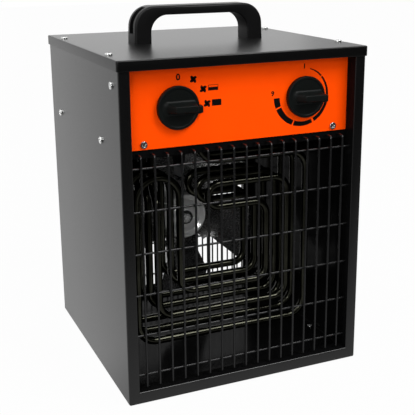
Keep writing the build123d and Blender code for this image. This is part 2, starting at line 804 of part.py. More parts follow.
def feed_leads():
    """Leads from the terminal block, under the lid, down to the switch."""
    middle = panel_back + switch_depth / 2
    top = knob_z + switch_size / 2
    start = block_y + block_lead_behind
    high = body_height - feed_lead_drop
    pieces = []
    for x in lead_columns():
        points = [(x, start, shelf_top + block_height), (x, start, high), (x, middle, high), (x, middle, top)]
        pieces.append(tube(points, [feed_lead_bend] * 2, lead_radius))
    return Compound(pieces)


def sensor():
    """The thermostat's bulb behind the rear guard's inside, on its capillary tube."""
    x0 = knob_x + thermostat_width / 4
    back = panel_back + thermostat_depth
    z0 = knob_z + thermostat_height / 4
    high, low = body_height - capillary_high_drop, body_height - capillary_low_drop
    points = [(x0, back, z0), (x0, back + capillary_straight, z0),
              (bulb_x, bulb_y - capillary_side_run, high), (bulb_x, bulb_y, low),
              (bulb_x, bulb_y, bulb_top)]
    pipe = tube(points, capillary_bends, capillary_radius)
    return pipe + bar_z(bulb_radius, bulb_top - bulb_length, bulb_top, bulb_x, bulb_y)


def grommet():
    """The rubber ring in the shelf round the capillary."""
    bore = capillary_radius + capillary_play
    ring = bar_z(grommet_radius + grommet_lip, shelf_top, shelf_top + grommet_lip, bulb_x, bulb_y)
    ring += bar_z(grommet_radius, shelf_bottom, shelf_top, bulb_x, bulb_y)
    return ring - bar_z(bore, shelf_bottom - over, shelf_top + 2 * grommet_lip, bulb_x, bulb_y)


parts = {
    "casing_wrap": casing_wrap(),
    "lid": lid(),
    "control_panel": control_panel(),
    "divider_shelf": divider_shelf(),
    "rear_panel": rear_panel(),
    "front_grille": front_grille(),
    "rear_grille": rear_grille(),
    "handle": handle(),
    "handle_screws": handle_screws(),
    "handle_nuts": handle_nuts(),
    "lid_screws": lid_screws(),
    "side_screws": side_screws(),
    "panel_screws": panel_screws(),
    "rear_screws": rear_screws(),
    "selector_knob": knob(-1),
    "selector_spindle": spindle(-1, switch_depth),
    "selector_switch": control_body(-1, switch_size, switch_size, switch_depth),
    "thermostat_knob": knob(1),
    "thermostat_spindle": spindle(1, thermostat_depth),
    "thermostat": control_body(1, thermostat_width, thermostat_height, thermostat_depth),
    "thermostat_sensor": sensor(),
    "sensor_grommet": grommet(),
    "element_ferrules": on_legs(ferrule),
    "element_beads": on_legs(bead),
    "element_pins": on_legs(pin),
    "star_link": star_link(),
    "element_leads": element_leads(),
    "feed_leads": feed_leads(),
    "terminal_block": terminal_block(),
    "fan": fan(),
    "fan_washer": fan_washer(),
    "fan_nut": fan_nut(),
    "motor_shaft": motor_shaft(),
    "motor": motor(),
    "motor_plate": motor_plate(),
    "motor_screws": motor_screws(),
    "cable_gland": cable_gland(),
    "gland_nut": gland_nut(),
    "thermal_cutout": thermal_cutout(),
    "reset_button": reset_button(),
}
for number, plane in enumerate(element_planes, 1):
    parts[f"heating_element_{number}"] = element(plane)

os.makedirs("parts", exist_ok=True)
for name, shape in parts.items():
    export_step(shape, f"parts/{name}.step")
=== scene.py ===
# %% [markdown]
# # A box fan heater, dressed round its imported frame
# The CAD model gives every piece its place. This notebook gives each piece its look. Most pieces of
# a sheet-metal heater are simple shapes with good edges, so each one is a surface worked out with
# numpy: a profile turned about a line, a section carried along a path, or an outline stacked up in
# layers. All sizes are in millimetres here and become metres when a mesh is made.

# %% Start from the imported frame
import json
import bpy
import numpy as np
from math import cos, radians, sin
from mathutils import Matrix, Vector


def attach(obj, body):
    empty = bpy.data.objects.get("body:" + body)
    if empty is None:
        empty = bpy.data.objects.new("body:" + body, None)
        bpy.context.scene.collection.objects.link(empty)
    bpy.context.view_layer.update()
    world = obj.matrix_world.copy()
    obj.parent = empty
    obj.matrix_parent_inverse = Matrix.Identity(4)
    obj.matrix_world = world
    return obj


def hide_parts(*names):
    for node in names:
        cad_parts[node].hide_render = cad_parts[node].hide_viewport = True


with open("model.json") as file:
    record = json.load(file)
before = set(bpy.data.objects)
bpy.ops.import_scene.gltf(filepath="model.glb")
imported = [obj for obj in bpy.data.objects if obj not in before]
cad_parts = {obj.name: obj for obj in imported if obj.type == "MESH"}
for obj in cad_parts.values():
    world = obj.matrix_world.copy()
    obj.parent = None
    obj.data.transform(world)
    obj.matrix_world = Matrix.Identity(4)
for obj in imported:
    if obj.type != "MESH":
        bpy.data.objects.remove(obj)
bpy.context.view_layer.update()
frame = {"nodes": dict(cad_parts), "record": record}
millimetre = 0.001
print("nodes:", len(frame["nodes"]))

# %% [markdown]
# ## Camera
# The photograph looks at the front and the left side from a little above. A camera was fitted to the
# casing's corners, so its direction, distance and focal length are known in pixels. Blender counts a
# lens in millimetres on a 36 mm sensor and a shift as a share of the picture's width, so the fitted
# numbers are only changed from one unit to the other. The small shift keeps the uprights from leaning.

# %% Place the camera
def linked(name, data):
    """A new object of this data, in the scene."""
    made = bpy.data.objects.new(name, data)
    bpy.context.scene.collection.objects.link(made)
    return made


picture_width = 415
sensor_width = 36.0
focal_pixels = 845.288
axis_row = 175.0                      # pixel row that the optical axis meets
camera_turn, camera_height, camera_roll = radians(-23.267), radians(15.022), radians(-0.522)
camera_distance = 955.08
camera_target = Vector((11.728, 0, 189.347))

backwards = Vector((sin(camera_turn) * cos(camera_height), -cos(camera_turn) * cos(camera_height),
                    sin(camera_height)))
rightwards = (-backwards).cross(Vector((0, 0, 1))).normalized()
upwards = rightwards.cross(-backwards)
rolled_right = rightwards * cos(camera_roll) + upwards * sin(camera_roll)
rolled_up = upwards * cos(camera_roll) - rightwards * sin(camera_roll)
camera_data = bpy.data.cameras.new("camera")
camera_data.sensor_width = sensor_width
camera_data.lens = focal_pixels / picture_width * sensor_width
camera_data.shift_y = axis_row / picture_width - 0.5
camera = linked("camera", camera_data)
camera.matrix_world = (Matrix.Translation((camera_target + backwards * camera_distance) * millimetre)
                       @ Matrix((rolled_right, rolled_up, backwards)).transposed().to_4x4())
bpy.context.scene.camera = camera
print("lens", round(camera_data.lens, 2), "shift", round(camera_data.shift_y, 3))

# %% [markdown]
# ## Light all round
# The heater stands on white in soft light, with a darker room behind the camera. A satin black sheet
# shows hardly any colour of its own: what one sees on its side and lid is the white behind it, mirrored
# at a flat angle, and its front looks black because it faces the dark room. White boards round the
# heater would do that too, but they would have to be hidden from the camera. So the world itself is
# the studio: its brightness in reflections rises from front to back, what lights the colours is an
# even sky, and to the camera it is white all round.

# %% Make the studio
def mixed(nodes, links, factor, low, high):
    """A mix of two shaders: low where the factor is 0, high where it is 1."""
    mix = nodes.new("ShaderNodeMixShader")
    for value, socket in zip((factor, low, high), mix.inputs):
        links.new(value, socket)
    return mix.outputs[0]


def background(nodes, strength):
    """A white background of this strength."""
    node = nodes.new("ShaderNodeBackground")
    node.inputs["Color"].default_value = (1.0, 1.0, 1.0, 1.0)
    node.inputs["Strength"].default_value = strength
    return node


def rise(nodes, links, value, reach, span, kind="LINEAR"):
    """A number that is span[0] until the value reaches reach[0] and span[1] from reach[1] on, and
    that runs from one to the other between them."""
    node = nodes.new("ShaderNodeMapRange")
    node.interpolation_type = kind
    for name, number in zip(("From Min", "From Max", "To Min", "To Max"), (*reach, *span)):
        node.inputs[name].default_value = number
    links.new(value, node.inputs["Value"])
    return node.outputs["Result"]


sky_strength = 0.75                   # of the light that falls on the heater
room_dark, room_white = 0.03, 0.8     # seen in reflections, in front on the right and all round behind
seen_white = 1.0                      # the background as the eye and the openings show it
towards_white = (-0.7, 1.0, 0.0)      # the way in which the studio grows brighter
room_reach = (-1.05, -0.05)           # where along that way this begins and ends
world = bpy.data.worlds.new("studio")
world.use_nodes = True
nodes, links = world.node_tree.nodes, world.node_tree.links
nodes.clear()
rays, where = nodes.new("ShaderNodeLightPath"), nodes.new("ShaderNodeTexCoord")
towards = nodes.new("ShaderNodeVectorMath")
towards.operation = "DOT_PRODUCT"
towards.inputs[1].default_value = towards_white
links.new(where.outputs["Generated"], towards.inputs[0])
room, white = background(nodes, room_white), background(nodes, seen_white)
links.new(rise(nodes, links, towards.outputs["Value"], room_reach, (room_dark, room_white), "SMOOTHSTEP"),
          room.inputs["Strength"])
seen = background(nodes, sky_strength).outputs[0]
for kind, shader in (("Is Glossy Ray", room), ("Is Transmission Ray", white), ("Is Camera Ray", white)):
    seen = mixed(nodes, links, rays.outputs[kind], seen, shader.outputs[0])
links.new(seen, nodes.new("ShaderNodeOutputWorld").inputs["Surface"])
bpy.context.scene.world = world
bpy.context.scene.view_settings.view_transform = "Standard"
print("studio: sky", sky_strength, "reflections", room_dark, "to", room_white)

# %% [markdown]
# ## Lamps
# The sky alone would leave the heater flat. Four square lamps give the light a direction: one high on
# the left, one behind, one high in front, and one lower at the front left for the casing's side. Large
# lamps have soft shadows and leave no hard spot in the gloss, so only the weak side lamp is small.

# %% Hang the lamps
def area_lamp(name, place, aim, size, watts):
    """A square soft lamp, its -Z axis turned from its place towards its aim, both in millimetres."""
    data = bpy.data.lights.new(name, "AREA")
    data.size = size * millimetre
    data.energy = watts
    direction = Vector(aim) - Vector(place)
    linked(name, data).matrix_world = (Matrix.Translation(Vector(place) * millimetre)
                                       @ direction.to_track_quat("-Z", "Y").to_matrix().to_4x4())
    print(f"lamp {name}: {size} mm, {watts} W")


area_lamp("key", (-700, -300, 1500), (0, 0, 150), 900, 9)
area_lamp("back", (500, 1500, 700), (0, 0, 200), 900, 1.2)
area_lamp("front", (450, -900, 1250), (0, -60, 150), 700, 13)
area_lamp("side", (-800, -1250, 750), (0, -60, 170), 300, 4)

# %% [markdown]
# ## Floor
# A plain pale floor that the heater stands on. To the camera it is as white as the world, and only the
# heater's soft shadow darkens it, so the two meet without a line. A shadow catcher would need a
# compositor behind it. Here a mix of matte and glow keeps some of the shadow and all of the white.

# %% Lay the floor
floor_half = 6000.0
floor_grey = 0.38                     # its own colour, by which it lights the heater
glow_share = 0.975                    # of even white in what the camera sees
floor_at_front = 0.56                 # its brightness in reflections, just before the heater
slow_reach, quick_reach = (-0.75, -0.12), (-0.13, 0.0)    # where along Y it brightens, in metres


def seen_floor(nodes, links):
    """The floor as it lights, with a share of even white for the camera. In reflections it brightens
    slowly from the dark room up to the heater, then quickly to white beside and behind it: the two
    rises are added up."""
    matte, glow, mirrored, rays, place, split, both = (nodes.new("ShaderNode" + kind) for kind in (
        "BsdfDiffuse", "Emission", "Emission", "LightPath", "TexCoord", "SeparateXYZ", "Math"))
    matte.inputs["Color"].default_value = (floor_grey, floor_grey, floor_grey, 1.0)
    glow.inputs["Strength"].default_value = 1.0
    links.new(place.outputs["Object"], split.inputs[0])
    along = split.outputs["Y"]
    links.new(rise(nodes, links, along, slow_reach, (room_dark, floor_at_front)), both.inputs[0])
    links.new(rise(nodes, links, along, quick_reach, (0.0, room_white - floor_at_front), "SMOOTHSTEP"),
              both.inputs[1])
    links.new(both.outputs[0], mirrored.inputs["Strength"])
    share = rise(nodes, links, rays.outputs["Is Camera Ray"], (0.0, 1.0), (0.0, glow_share))
    plain = mixed(nodes, links, share, matte.outputs[0], glow.outputs[0])
    return mixed(nodes, links, rays.outputs["Is Glossy Ray"], plain, mirrored.outputs[0])


floor_mesh = bpy.data.meshes.new("floor")
floor_corners = np.array([(-1, -1, 0), (1, -1, 0), (1, 1, 0), (-1, 1, 0)]) * floor_half * millimetre
floor_mesh.from_pydata(floor_corners.tolist(), [], [(0, 1, 2, 3)])
floor_finish = bpy.data.materials.new("floor_white")
floor_finish.use_nodes = True
nodes, links = floor_finish.node_tree.nodes, floor_finish.node_tree.links
nodes.clear()
links.new(seen_floor(nodes, links), nodes.new("ShaderNodeOutputMaterial").inputs["Surface"])
floor_mesh.materials.append(floor_finish)
linked("floor", floor_mesh)
print("floor:", 2 * floor_half, "mm wide")

# %% [markdown]
# ## How a finish is built
# Every finish on the heater is one base colour broken up by noise, a gloss that varies a little, and
# a fine bump. The noise reads Object coordinates in metres, so a scale of 900 gives grains of about a
# millimetre. Stretching the coordinates turns round grains into the drawn lines of rolled or brushed
# metal. One function builds them all, so that each finish is one line of numbers to compare.

# %% Write the function for a finish
def noise(nodes, links, place, scale, detail, roughness):
    """A noise texture with scale lumps to the metre."""
    node = nodes.new("ShaderNodeTexNoise")
    for name, number in (("Scale", scale), ("Detail", detail), ("Roughness", roughness)):
        node.inputs[name].default_value = number
    links.new(place, node.inputs["Vector"])
    return node.outputs["Fac"]


patch_reach, grain_reach = (0.32, 0.68), (0.3, 0.7)       # most of a noise's values lie between these


def finish(name, dark, light, gloss, grain, bump, metallic=0.0, stretch=(1, 1, 1), patch=14.0, coat=0.0,
           ior=1.5):
    """A finish: its colour runs from dark to light by a noise of large patches, its roughness over
    gloss by a noise with grain lumps to the metre, and its height is bump times that second noise, in
    millimetres."""
    material = bpy.data.materials.new(name)
    material.use_nodes = True
    nodes, links = material.node_tree.nodes, material.node_tree.links
    shader = nodes["Principled BSDF"]
    for socket, number in (("Metallic", metallic), ("IOR", ior), ("Coat Weight", coat),
                           ("Coat Roughness", 0.1)):
        shader.inputs[socket].default_value = number
    place, mapping = nodes.new("ShaderNodeTexCoord"), nodes.new("ShaderNodeMapping")
    mapping.inputs["Scale"].default_value = stretch
    links.new(place.outputs["Object"], mapping.inputs["Vector"])
    patches = noise(nodes, links, mapping.outputs["Vector"], patch, 6.0, 0.65)
    grains = noise(nodes, links, mapping.outputs["Vector"], grain, 3.0, 0.5)
    ramp = nodes.new("ShaderNodeValToRGB")
    for stop, position, colour in zip(ramp.color_ramp.elements, patch_reach, (dark, light)):
        stop.position, stop.color = position, (*colour, 1.0)
    links.new(patches, ramp.inputs["Fac"])
    links.new(ramp.outputs["Color"], shader.inputs["Base Color"])
    links.new(rise(nodes, links, grains, grain_reach, gloss), shader.inputs["Roughness"])
    height = nodes.new("ShaderNodeBump")
    height.inputs["Distance"].default_value = bump * millimetre
    links.new(grains, height.inputs["Height"])
    links.new(height.outputs["Normal"], shader.inputs["Normal"])
    return material


print("a finish has a colour, a gloss and a height")

# %% [markdown]
# ## The heater's finishes
# Powder coat is a fine even grain with a satin gloss. Moulded plastic is duller, rolled and ground
# metal has long lines, and the elements are steel that heat has tinted. Each material slot of the
# record gets one finish. A coat that looks too milky in the pale room is darkened by a lower index of
# refraction, because that weakens only what it mirrors.

# %% Mix the finishes
powder_dark, powder_light = (0.0006, 0.0006, 0.00065), (0.0012, 0.0012, 0.0013)
finishes = {
    "casing_black": finish("powder_black", powder_dark, powder_light, (0.26, 0.33), 1500, 0.04, ior=1.56),
    "panel_orange": finish("powder_orange", (0.94, 0.065, 0.0), (0.97, 0.072, 0.0), (0.42, 0.50), 1500,
                           0.05, ior=1.1),
    "guard_wire": finish("wire_black", (0.004, 0.004, 0.0042), (0.007, 0.007, 0.0073), (0.20, 0.28), 900,
                         0.01, ior=1.45),
    "plated_sheet": finish("zinc_sheet", (0.50, 0.51, 0.52), (0.64, 0.65, 0.65), (0.30, 0.44), 700, 0.02,
                           1.0, (1, 1, 8)),
    "zinc_fastener": finish("zinc_screw", (0.66, 0.67, 0.67), (0.80, 0.80, 0.78), (0.16, 0.26), 1600,
                            0.02, 1.0),
    "handle_plastic": finish("handle_moulding", (0.0015, 0.0015, 0.0016), (0.0025, 0.0025, 0.0027),
                             (0.36, 0.44), 1300, 0.05, ior=1.3),
    "knob_plastic": finish("knob_moulding", (0.0034, 0.0043, 0.0040), (0.0052, 0.0064, 0.0060),
                           (0.38, 0.46), 1700, 0.03, ior=1.2),
    "control_plastic": finish("control_moulding", (0.03, 0.03, 0.033), (0.045, 0.045, 0.05), (0.44, 0.55),
                              900, 0.04),
    "element_tube": finish("heated_steel", (0.024, 0.024, 0.0175), (0.062, 0.062, 0.047), (0.12, 0.20),
                           500, 0.002, 1.0, patch=30),
    "ceramic_bead": finish("steatite", (0.74, 0.71, 0.63), (0.84, 0.81, 0.74), (0.55, 0.68), 1200, 0.04),
    "brass_fitting": finish("turned_brass", (0.60, 0.44, 0.18), (0.76, 0.58, 0.28), (0.22, 0.34), 900,
                            0.02, 1.0),
    "lead_insulation": finish("silicone_lead", (0.030, 0.030, 0.033), (0.045, 0.045, 0.05), (0.48, 0.58),
                              700, 0.03),
    "fan_aluminium": finish("blade_sheet", (0.34, 0.34, 0.34), (0.50, 0.50, 0.495), (0.20, 0.30), 500,
                            0.01, 0.9, (1, 1, 6)),
    "motor_shell": finish("motor_enamel", (0.012, 0.012, 0.013), (0.02, 0.02, 0.021), (0.26, 0.36), 900,
                          0.03),
    "ground_steel": finish("ground_shaft", (0.58, 0.58, 0.58), (0.70, 0.70, 0.69), (0.16, 0.26), 900,
                           0.02, 1.0, (1, 9, 1)),
    "grommet_rubber": finish("rubber_ring", (0.016, 0.016, 0.016), (0.026, 0.026, 0.026), (0.60, 0.72),
                             900, 0.05),
    "gland_plastic": finish("nylon_gland", (0.012, 0.012, 0.0125), (0.02, 0.02, 0.021), (0.40, 0.50),
                            1100, 0.04),
    "button_red": finish("red_button", (0.42, 0.018, 0.012), (0.52, 0.024, 0.016), (0.22, 0.30), 900,
                         0.02, coat=0.3),
}
print("finishes:", len(finishes))

# %% [markdown]
# ## Finish the CAD nodes
# A node whose solid already has the right shape keeps its mesh and only gets its finish. The shelf is
# the roof of the fan's duct, and the duct is smoother and blacker inside than the casing is outside.
# The shelf takes the duct's black in place of its own zinc: that is painted shade, for the shade that
# lies under the panel.

# %% Paint what stays as it is
# the duct's own finish; the shelf takes it too, as painted shade under the panel
duct_black_and_painted_shade = finish("duct_black_and_painted_shade", (0.0025, 0.0025, 0.0026), (0.004, 0.004, 0.0042), (0.12, 0.18), 600,
                    0.004, ior=1.1)
slot_of = {part["node"]: part["material_slot"] for part in frame["record"]["subparts"]}
body_of = {name: body for body, names in frame["record"]["behaviour"]["bodies"].items() for name in names}
for name, slot in slot_of.items():
    node = frame["nodes"][name]
    if not node.material_slots:
        node.data.materials.append(None)
    for place in node.material_slots:
        # the shelf's black, in place of its zinc, is painted shade for the shade under the panel
        place.material = duct_black_and_painted_shade if name == "divider_shelf" else finishes[slot]
print("nodes painted:", len(slot_of))

# %% [markdown]
# ## From rings to shells
# A surface here is a stack of rings: an array whose first axis counts rings and whose second goes
# round one ring. Four neighbouring points make a quad, and each end is closed by a fan of triangles
# round the end ring's middle. The signed volume says whether the faces look outwards: it is the sum
# of p·(q×r)/6 over all triangles p, q, r, and where it is negative every face is turned round.

# %% Turn rings into shells
def outwards(points, faces):
    """The faces of a closed shell, turned round if the sum of p·(q×r) over them is negative."""
    volume = 0.0
    for group in faces:
        for k in range(1, group.shape[1] - 1):
            p, q, r = points[group[:, 0]], points[group[:, k]], points[group[:, k + 1]]
            volume += float(np.einsum("ij,ij->", p, np.cross(q, r)))
    return faces if volume > 0 else [group[:, ::-1] for group in faces]


def shell(rings, endless=False):
    """A closed shell from rings (n, m, 3): quads join ring i to ring i+1, and each end gets a fan of
    triangles to its middle, or the last ring joins the first where the shell is endless."""
    n, m, _ = rings.shape
    index = np.arange(n * m).reshape(n, m)
    if endless:
        index = np.vstack([index, index[:1]])
    after = np.roll(index, -1, axis=1)
    quads = np.stack([index[:-1], after[:-1], after[1:], index[1:]], -1).reshape(-1, 4)
    points = rings.reshape(-1, 3)
    if endless:
        return points, outwards(points - points.mean(0), [quads])
    middle = np.full(m, n * m)
    fans = np.vstack([np.stack([after[0], index[0], middle], -1),
                      np.stack([index[-1], after[-1], middle + 1], -1)])
    points = np.vstack([points, rings[[0, -1]].mean(1)])
    return points, outwards(points - points.mean(0), [quads, fans])


def moved(made, turn=None, by=(0, 0, 0)):
    """A shell turned by a 3 by 3 matrix, then moved."""
    points, faces = made
    if turn is not None:
        points = points @ np.array(turn).T
    return points + np.array(by, float), faces


def joined(shells):
    """Several shells as one: the points are stacked and each shell's face numbers are raised to match."""
    counts = np.cumsum([0] + [len(points) for points, faces in shells])
    groups = [group + start for (points, faces), start in zip(shells, counts) for group in faces]
    return np.vstack([points for points, faces in shells]), groups


print("a shell is its points and its groups of faces")

# %% [markdown]
# ## From shells to pieces
# A shell becomes a Blender mesh in one call. It is shaded smooth, but a fold in sheet metal or the rim
# of a screw is a crisp line, so edges past a set angle are marked sharp. Then the piece rides on its
# CAD body, takes its finish, and hides the CAD nodes that it stands for.

# %% Make meshes and put them in place
crease = radians(32)                  # an edge that turns by more than this stays crisp


def mesh_of(name, made):
    """A mesh of a shell's points and faces, in metres."""
    points, faces = made
    mesh = bpy.data.meshes.new(name)
    mesh.from_pydata((points * millimetre).tolist(), [], [row for group in faces for row in group.tolist()])
    return mesh


def put(name, made, material, body, stands_for=()):
    """Makes the piece, smooth between its creases, gives it its finish, rides it on its body and hides
    the CAD nodes that it stands for."""
    mesh = mesh_of(name, made)
    mesh.materials.append(material)
    mesh.polygons.foreach_set("use_smooth", np.ones(len(mesh.polygons), bool))
    mesh.set_sharp_from_angle(angle=crease)
    mesh.update()
    piece = linked(name, mesh)
    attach(piece, body)
    if stands_for:
        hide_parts(*stands_for)
    print(f"{name}: {len(mesh.polygons)} faces, {np.round(np.ptp(made[0], axis=0), 1)} mm")
    return piece


def dress(node, made, material=None):
    """Puts a shell in the place of one CAD node, on that node's body and in its finish."""
    return put(node + "_look", made, material or finishes[slot_of[node]], body_of[node],
               (node,))


print("crease", round(crease, 3))

# %% [markdown]
# ## Paths and tubes
# Wires, heating elements and leads are all round bars that were bent round a former, so their paths
# are straight runs with true arcs between them. A curve with handles only comes near to that. A tube
# is then a circle carried along the path, square to the path's direction.

# %% Make paths and tubes
def unit(vectors):
    """Each vector divided by its own length."""
    return vectors / np.linalg.norm(vectors, axis=-1, keepdims=True)


def rounded(corners, radii, steps=10):
    """Straight runs with an arc at each inner corner: the arc starts radius·tan(turn/2) before it, and
    its centre lies radius/cos(turn/2) from it along the line that halves the corner."""
    corners = np.array(corners, float)
    radii = np.broadcast_to(np.array(radii, float), len(corners) - 2)[:, None]
    here = corners[1:-1]
    back, ahead = unit(corners[:-2] - here), unit(corners[2:] - here)
    turn = np.pi - np.arccos(np.clip((back * ahead).sum(1, keepdims=True), -1, 1))
    centre = here + unit(back + ahead) * radii / np.cos(turn / 2)
    start = here + back * radii * np.tan(turn / 2) - centre
    end = here + ahead * radii * np.tan(turn / 2) - centre
    side = (end - start * np.cos(turn)) / np.sin(turn)
    angle = turn[:, :, None] * np.linspace(0, 1, steps)[None, :, None]
    arcs = centre[:, None] + start[:, None] * np.cos(angle) + side[:, None] * np.sin(angle)
    path = np.vstack([corners[:1], arcs.reshape(-1, corners.shape[1]), corners[-1:]])
    step = np.linalg.norm(np.diff(path, axis=0), axis=1)
    return path[np.concatenate([[True], step > 0.01])]


def rounded_loop(corners, radius, steps=6):
    """A closed outline with every corner rounded."""
    corners = np.array(corners, float)
    path = rounded(np.vstack([corners[-1:], corners, corners[:1]]), radius, steps)
    return path[1:-1]


def tube(path, radius, sides=16, across=(0, 1, 0), soften=0.0):
    """A circle carried along a path: at each point its two axes are the direction × across, and that
    × the direction. The ends may shrink over their last stretch, as a cut wire's do."""
    path = np.array(path, float)
    ahead = unit(np.gradient(path, axis=0))
    first = unit(np.cross(ahead, across))
    second = np.cross(first, ahead)
    angle = np.linspace(0, 2 * np.pi, sides, endpoint=False)[None, :, None]
    rings = path[:, None] + radius * (np.cos(angle) * first[:, None] + np.sin(angle) * second[:, None])
    if soften:
        tips = [path[i] + (rings[i] - path[i]) * (1 - soften) + ahead[i] * way * soften * radius
                for i, way in ((0, -1), (-1, 1))]
        rings = np.concatenate([tips[0][None], rings, tips[1][None]])
    return shell(rings)


print("a quarter bend in 5 points:", rounded([(0, 0), (0, 9), (9, 9)], 9, 5).round(1).tolist())

# %% [markdown]
# ## Turned profiles and stacked outlines
# Two more kinds of form make nearly every other piece. A turned piece is a profile of radius and depth
# swung round a line, as on a lathe. A moulded or pressed piece is an outline stacked in layers that
# shrink towards the top, which gives its draft and its rounded edge in one go, where a box would need
# a taper and a bevel.

# %% Turn and stack
def turned(profile, centre=(0, 0), steps=64, endless=False):
    """A profile of (radius, y) swung round the line along Y through centre = (x, z)."""
    profile = np.array(profile, float)
    angle = np.linspace(0, 2 * np.pi, steps, endpoint=False)
    radius, depth = profile[:, 0, None], profile[:, 1, None]
    rings = np.stack([centre[0] + radius * np.cos(angle), depth + 0 * angle,
                      centre[1] + radius * np.sin(angle)], -1)
    return shell(rings, endless)


def stacked(outline, layers):
    """An outline (m, 2) in layers of (inset, height): each layer's half width and half length are less
    by the inset, so walls lean in and the top edge rounds over."""
    outline = np.array(outline, float)
    middle = (outline.max(0) + outline.min(0)) / 2
    half = (outline.max(0) - outline.min(0)) / 2
    layers = np.array(layers, float)
    size = 1 - layers[:, 0, None] / half
    flat = middle + (outline - middle)[None] * size[:, None]
    height = np.broadcast_to(layers[:, 1, None, None], (*flat.shape[:2], 1))
    return shell(np.concatenate([flat, height], -1))


def round_edge(radius, height, lean=0.0, steps=5):
    """Layers of a wall that leans in by lean up to its top edge, which is a quarter circle."""
    angle = np.linspace(0, np.pi / 2, steps)
    inset = lean + radius * (1 - np.cos(angle))
    return [(0.0, 0.0)] + list(zip(inset, height - radius + radius * np.sin(angle)))


facing_front = ((1, 0, 0), (0, 0, -1), (0, 1, 0))     # heights above the XY plane go towards the front
facing_back = ((-1, 0, 0), (0, 0, 1), (0, 1, 0))      # and here towards the back
facing_left = ((0, 0, -1), (-1, 0, 0), (0, 1, 0))
facing_right = ((0, 0, 1), (1, 0, 0), (0, 1, 0))
print("a round edge of 1 on a height of 5:", np.round(round_edge(1, 5), 2).tolist())

# %% [markdown]
# ## Front guard
# The front guard is made of round drawn wire with a thin black coat. The uprights lie in front, and
# each one's tip is bent back under the orange panel. Six level wires cross behind them, and every
# crossing is a spot weld, where both wires sink into each other and a small bead of metal stands out.
# An Array modifier could repeat the wires. Here one upright, one level wire and one bead are worked
# out, and the rest are the same points moved, so that the guard is one mesh.

# %% Weld the front guard
def spread(count, reach):
    """Evenly spaced places from -reach to reach."""
    return np.linspace(-reach, reach, count)


def copies(made, places):
    """The same shell at each place."""
    return [moved(made, by=place) for place in places]


wire_radius = 1.1
upright_y, cross_y = -125.0, -122.8   # depths of the uprights and of the level wires
upright_foot, tip_z, tip_y, tip_bend = 15.5, 250.5, -113.8, 2.6
front_columns, cross_rows, cross_half = spread(17, 109.0), 27.6 + 42.2 * np.arange(6), 118.5
bead_half = (1.75, 1.25, 1.55)        # half the bead's width, depth and height

upright_way = rounded([(0, upright_y, upright_foot), (0, upright_y, tip_z), (0, tip_y, tip_z)], [tip_bend], 8)
upright = tube(upright_way, wire_radius, 12, (1, 0, 0), soften=0.3)
cross = tube([(-cross_half, cross_y, 0), (0, cross_y, 0), (cross_half, cross_y, 0)], wire_radius, 12)
from_pole = np.linspace(0, np.pi, 5)[1:-1, None]
round_pole = np.linspace(0, 2 * np.pi, 8, endpoint=False)
bead = shell(bead_half * np.stack([np.sin(from_pole) * np.cos(round_pole), np.cos(from_pole) + 0 * round_pole,
                                   np.sin(from_pole) * np.sin(round_pole)], -1))
crossings = [(x, (upright_y + cross_y) / 2, z) for x in front_columns for z in cross_rows]
dress("front_grille", joined(copies(upright, [(x, 0, 0) for x in front_columns])
                             + copies(cross, [(0, 0, z) for z in cross_rows]) + copies(bead, crossings)))

# %% [markdown]
# ## Rear guard
# The rear guard is of finer wire at a closer pitch. Past the fan it shows as thin dark lines against
# the white, so its even spacing matters more than its welds. It is made like the front guard, without
# bends and beads.

# %% Weld the rear guard
rear_radius, rear_y, rear_cross_y = 1.0, 125.6, 127.7
rear_columns, rear_cross_half = spread(33, 115.2), 126.1
rear_upright = tube([(0, rear_y, 3.9), (0, rear_y, 90), (0, rear_y, 176.0)], rear_radius, 10, (1, 0, 0))
rear_cross = tube([(-rear_cross_half, rear_cross_y, 0), (0, rear_cross_y, 0),
                   (rear_cross_half, rear_cross_y, 0)], wire_radius, 10)
dress("rear_grille", joined(copies(rear_upright, [(x, 0, 0) for x in rear_columns])
                            + copies(rear_cross, [(0, 0, z) for z in cross_rows[:4]])))

# %% [markdown]
# ## Heating elements
# Each element is one steel tube of 8 mm that never breaks: down from the shelf, round the outer loop,
# over an arch to the inner loop, back through a tight turn to the middle loop and up again. Heat has
# tinted it olive and grey. Three rings would be easier, but the arches and turns at the upper left are
# what tells such a heater, so the whole path is laid out, with a bend radius at each corner.

# %% Bend the three elements
fan_centre = 129.8                    # height of the fan, and of the middle of the elements' loops
first_leg, second_leg, leg_jog = -28.0, -75.0, 14.0       # where the legs rise; the second steps back
legs_top, arch_top = 261.2, 213.0


def element_path(y):
    """The bent tube's corners with their bend radii, rounded into arcs."""
    outer, middle, inner = (98.0, 95.2), (75.0, 69.2), (50.0, 44.2)       # half widths and half heights
    z = fan_centre
    flat = [((first_leg, z + outer[1]), 20), ((outer[0], z + outer[1]), 20), ((outer[0], z - outer[1]), 20),
            ((-outer[0], z - outer[1]), 20), ((-outer[0], arch_top), 24), ((-inner[0], arch_top), 24),
            ((-inner[0], z - inner[1]), 14), ((inner[0], z - inner[1]), 14), ((inner[0], z + inner[1]), 14),
            ((-18, z + inner[1]), 12.5), ((-18, z + middle[1]), 12.5), ((middle[0], z + middle[1]), 16),
            ((middle[0], z - middle[1]), 16), ((second_leg, z - middle[1]), 16)]
    corners = ([(first_leg, y, legs_top)] + [(x, y, height) for (x, height), radius in flat]
               + [(second_leg, y, 184), (second_leg, y + leg_jog, 202), (second_leg, y + leg_jog, legs_top)])
    return rounded(corners, [radius for place, radius in flat] + [14, 14], 14)


element_planes = (-70.0, -42.0, -14.0)
for place, plane in enumerate(element_planes, 1):
    dress(f"heating_element_{place}", tube(element_path(plane), 4.0, 20))

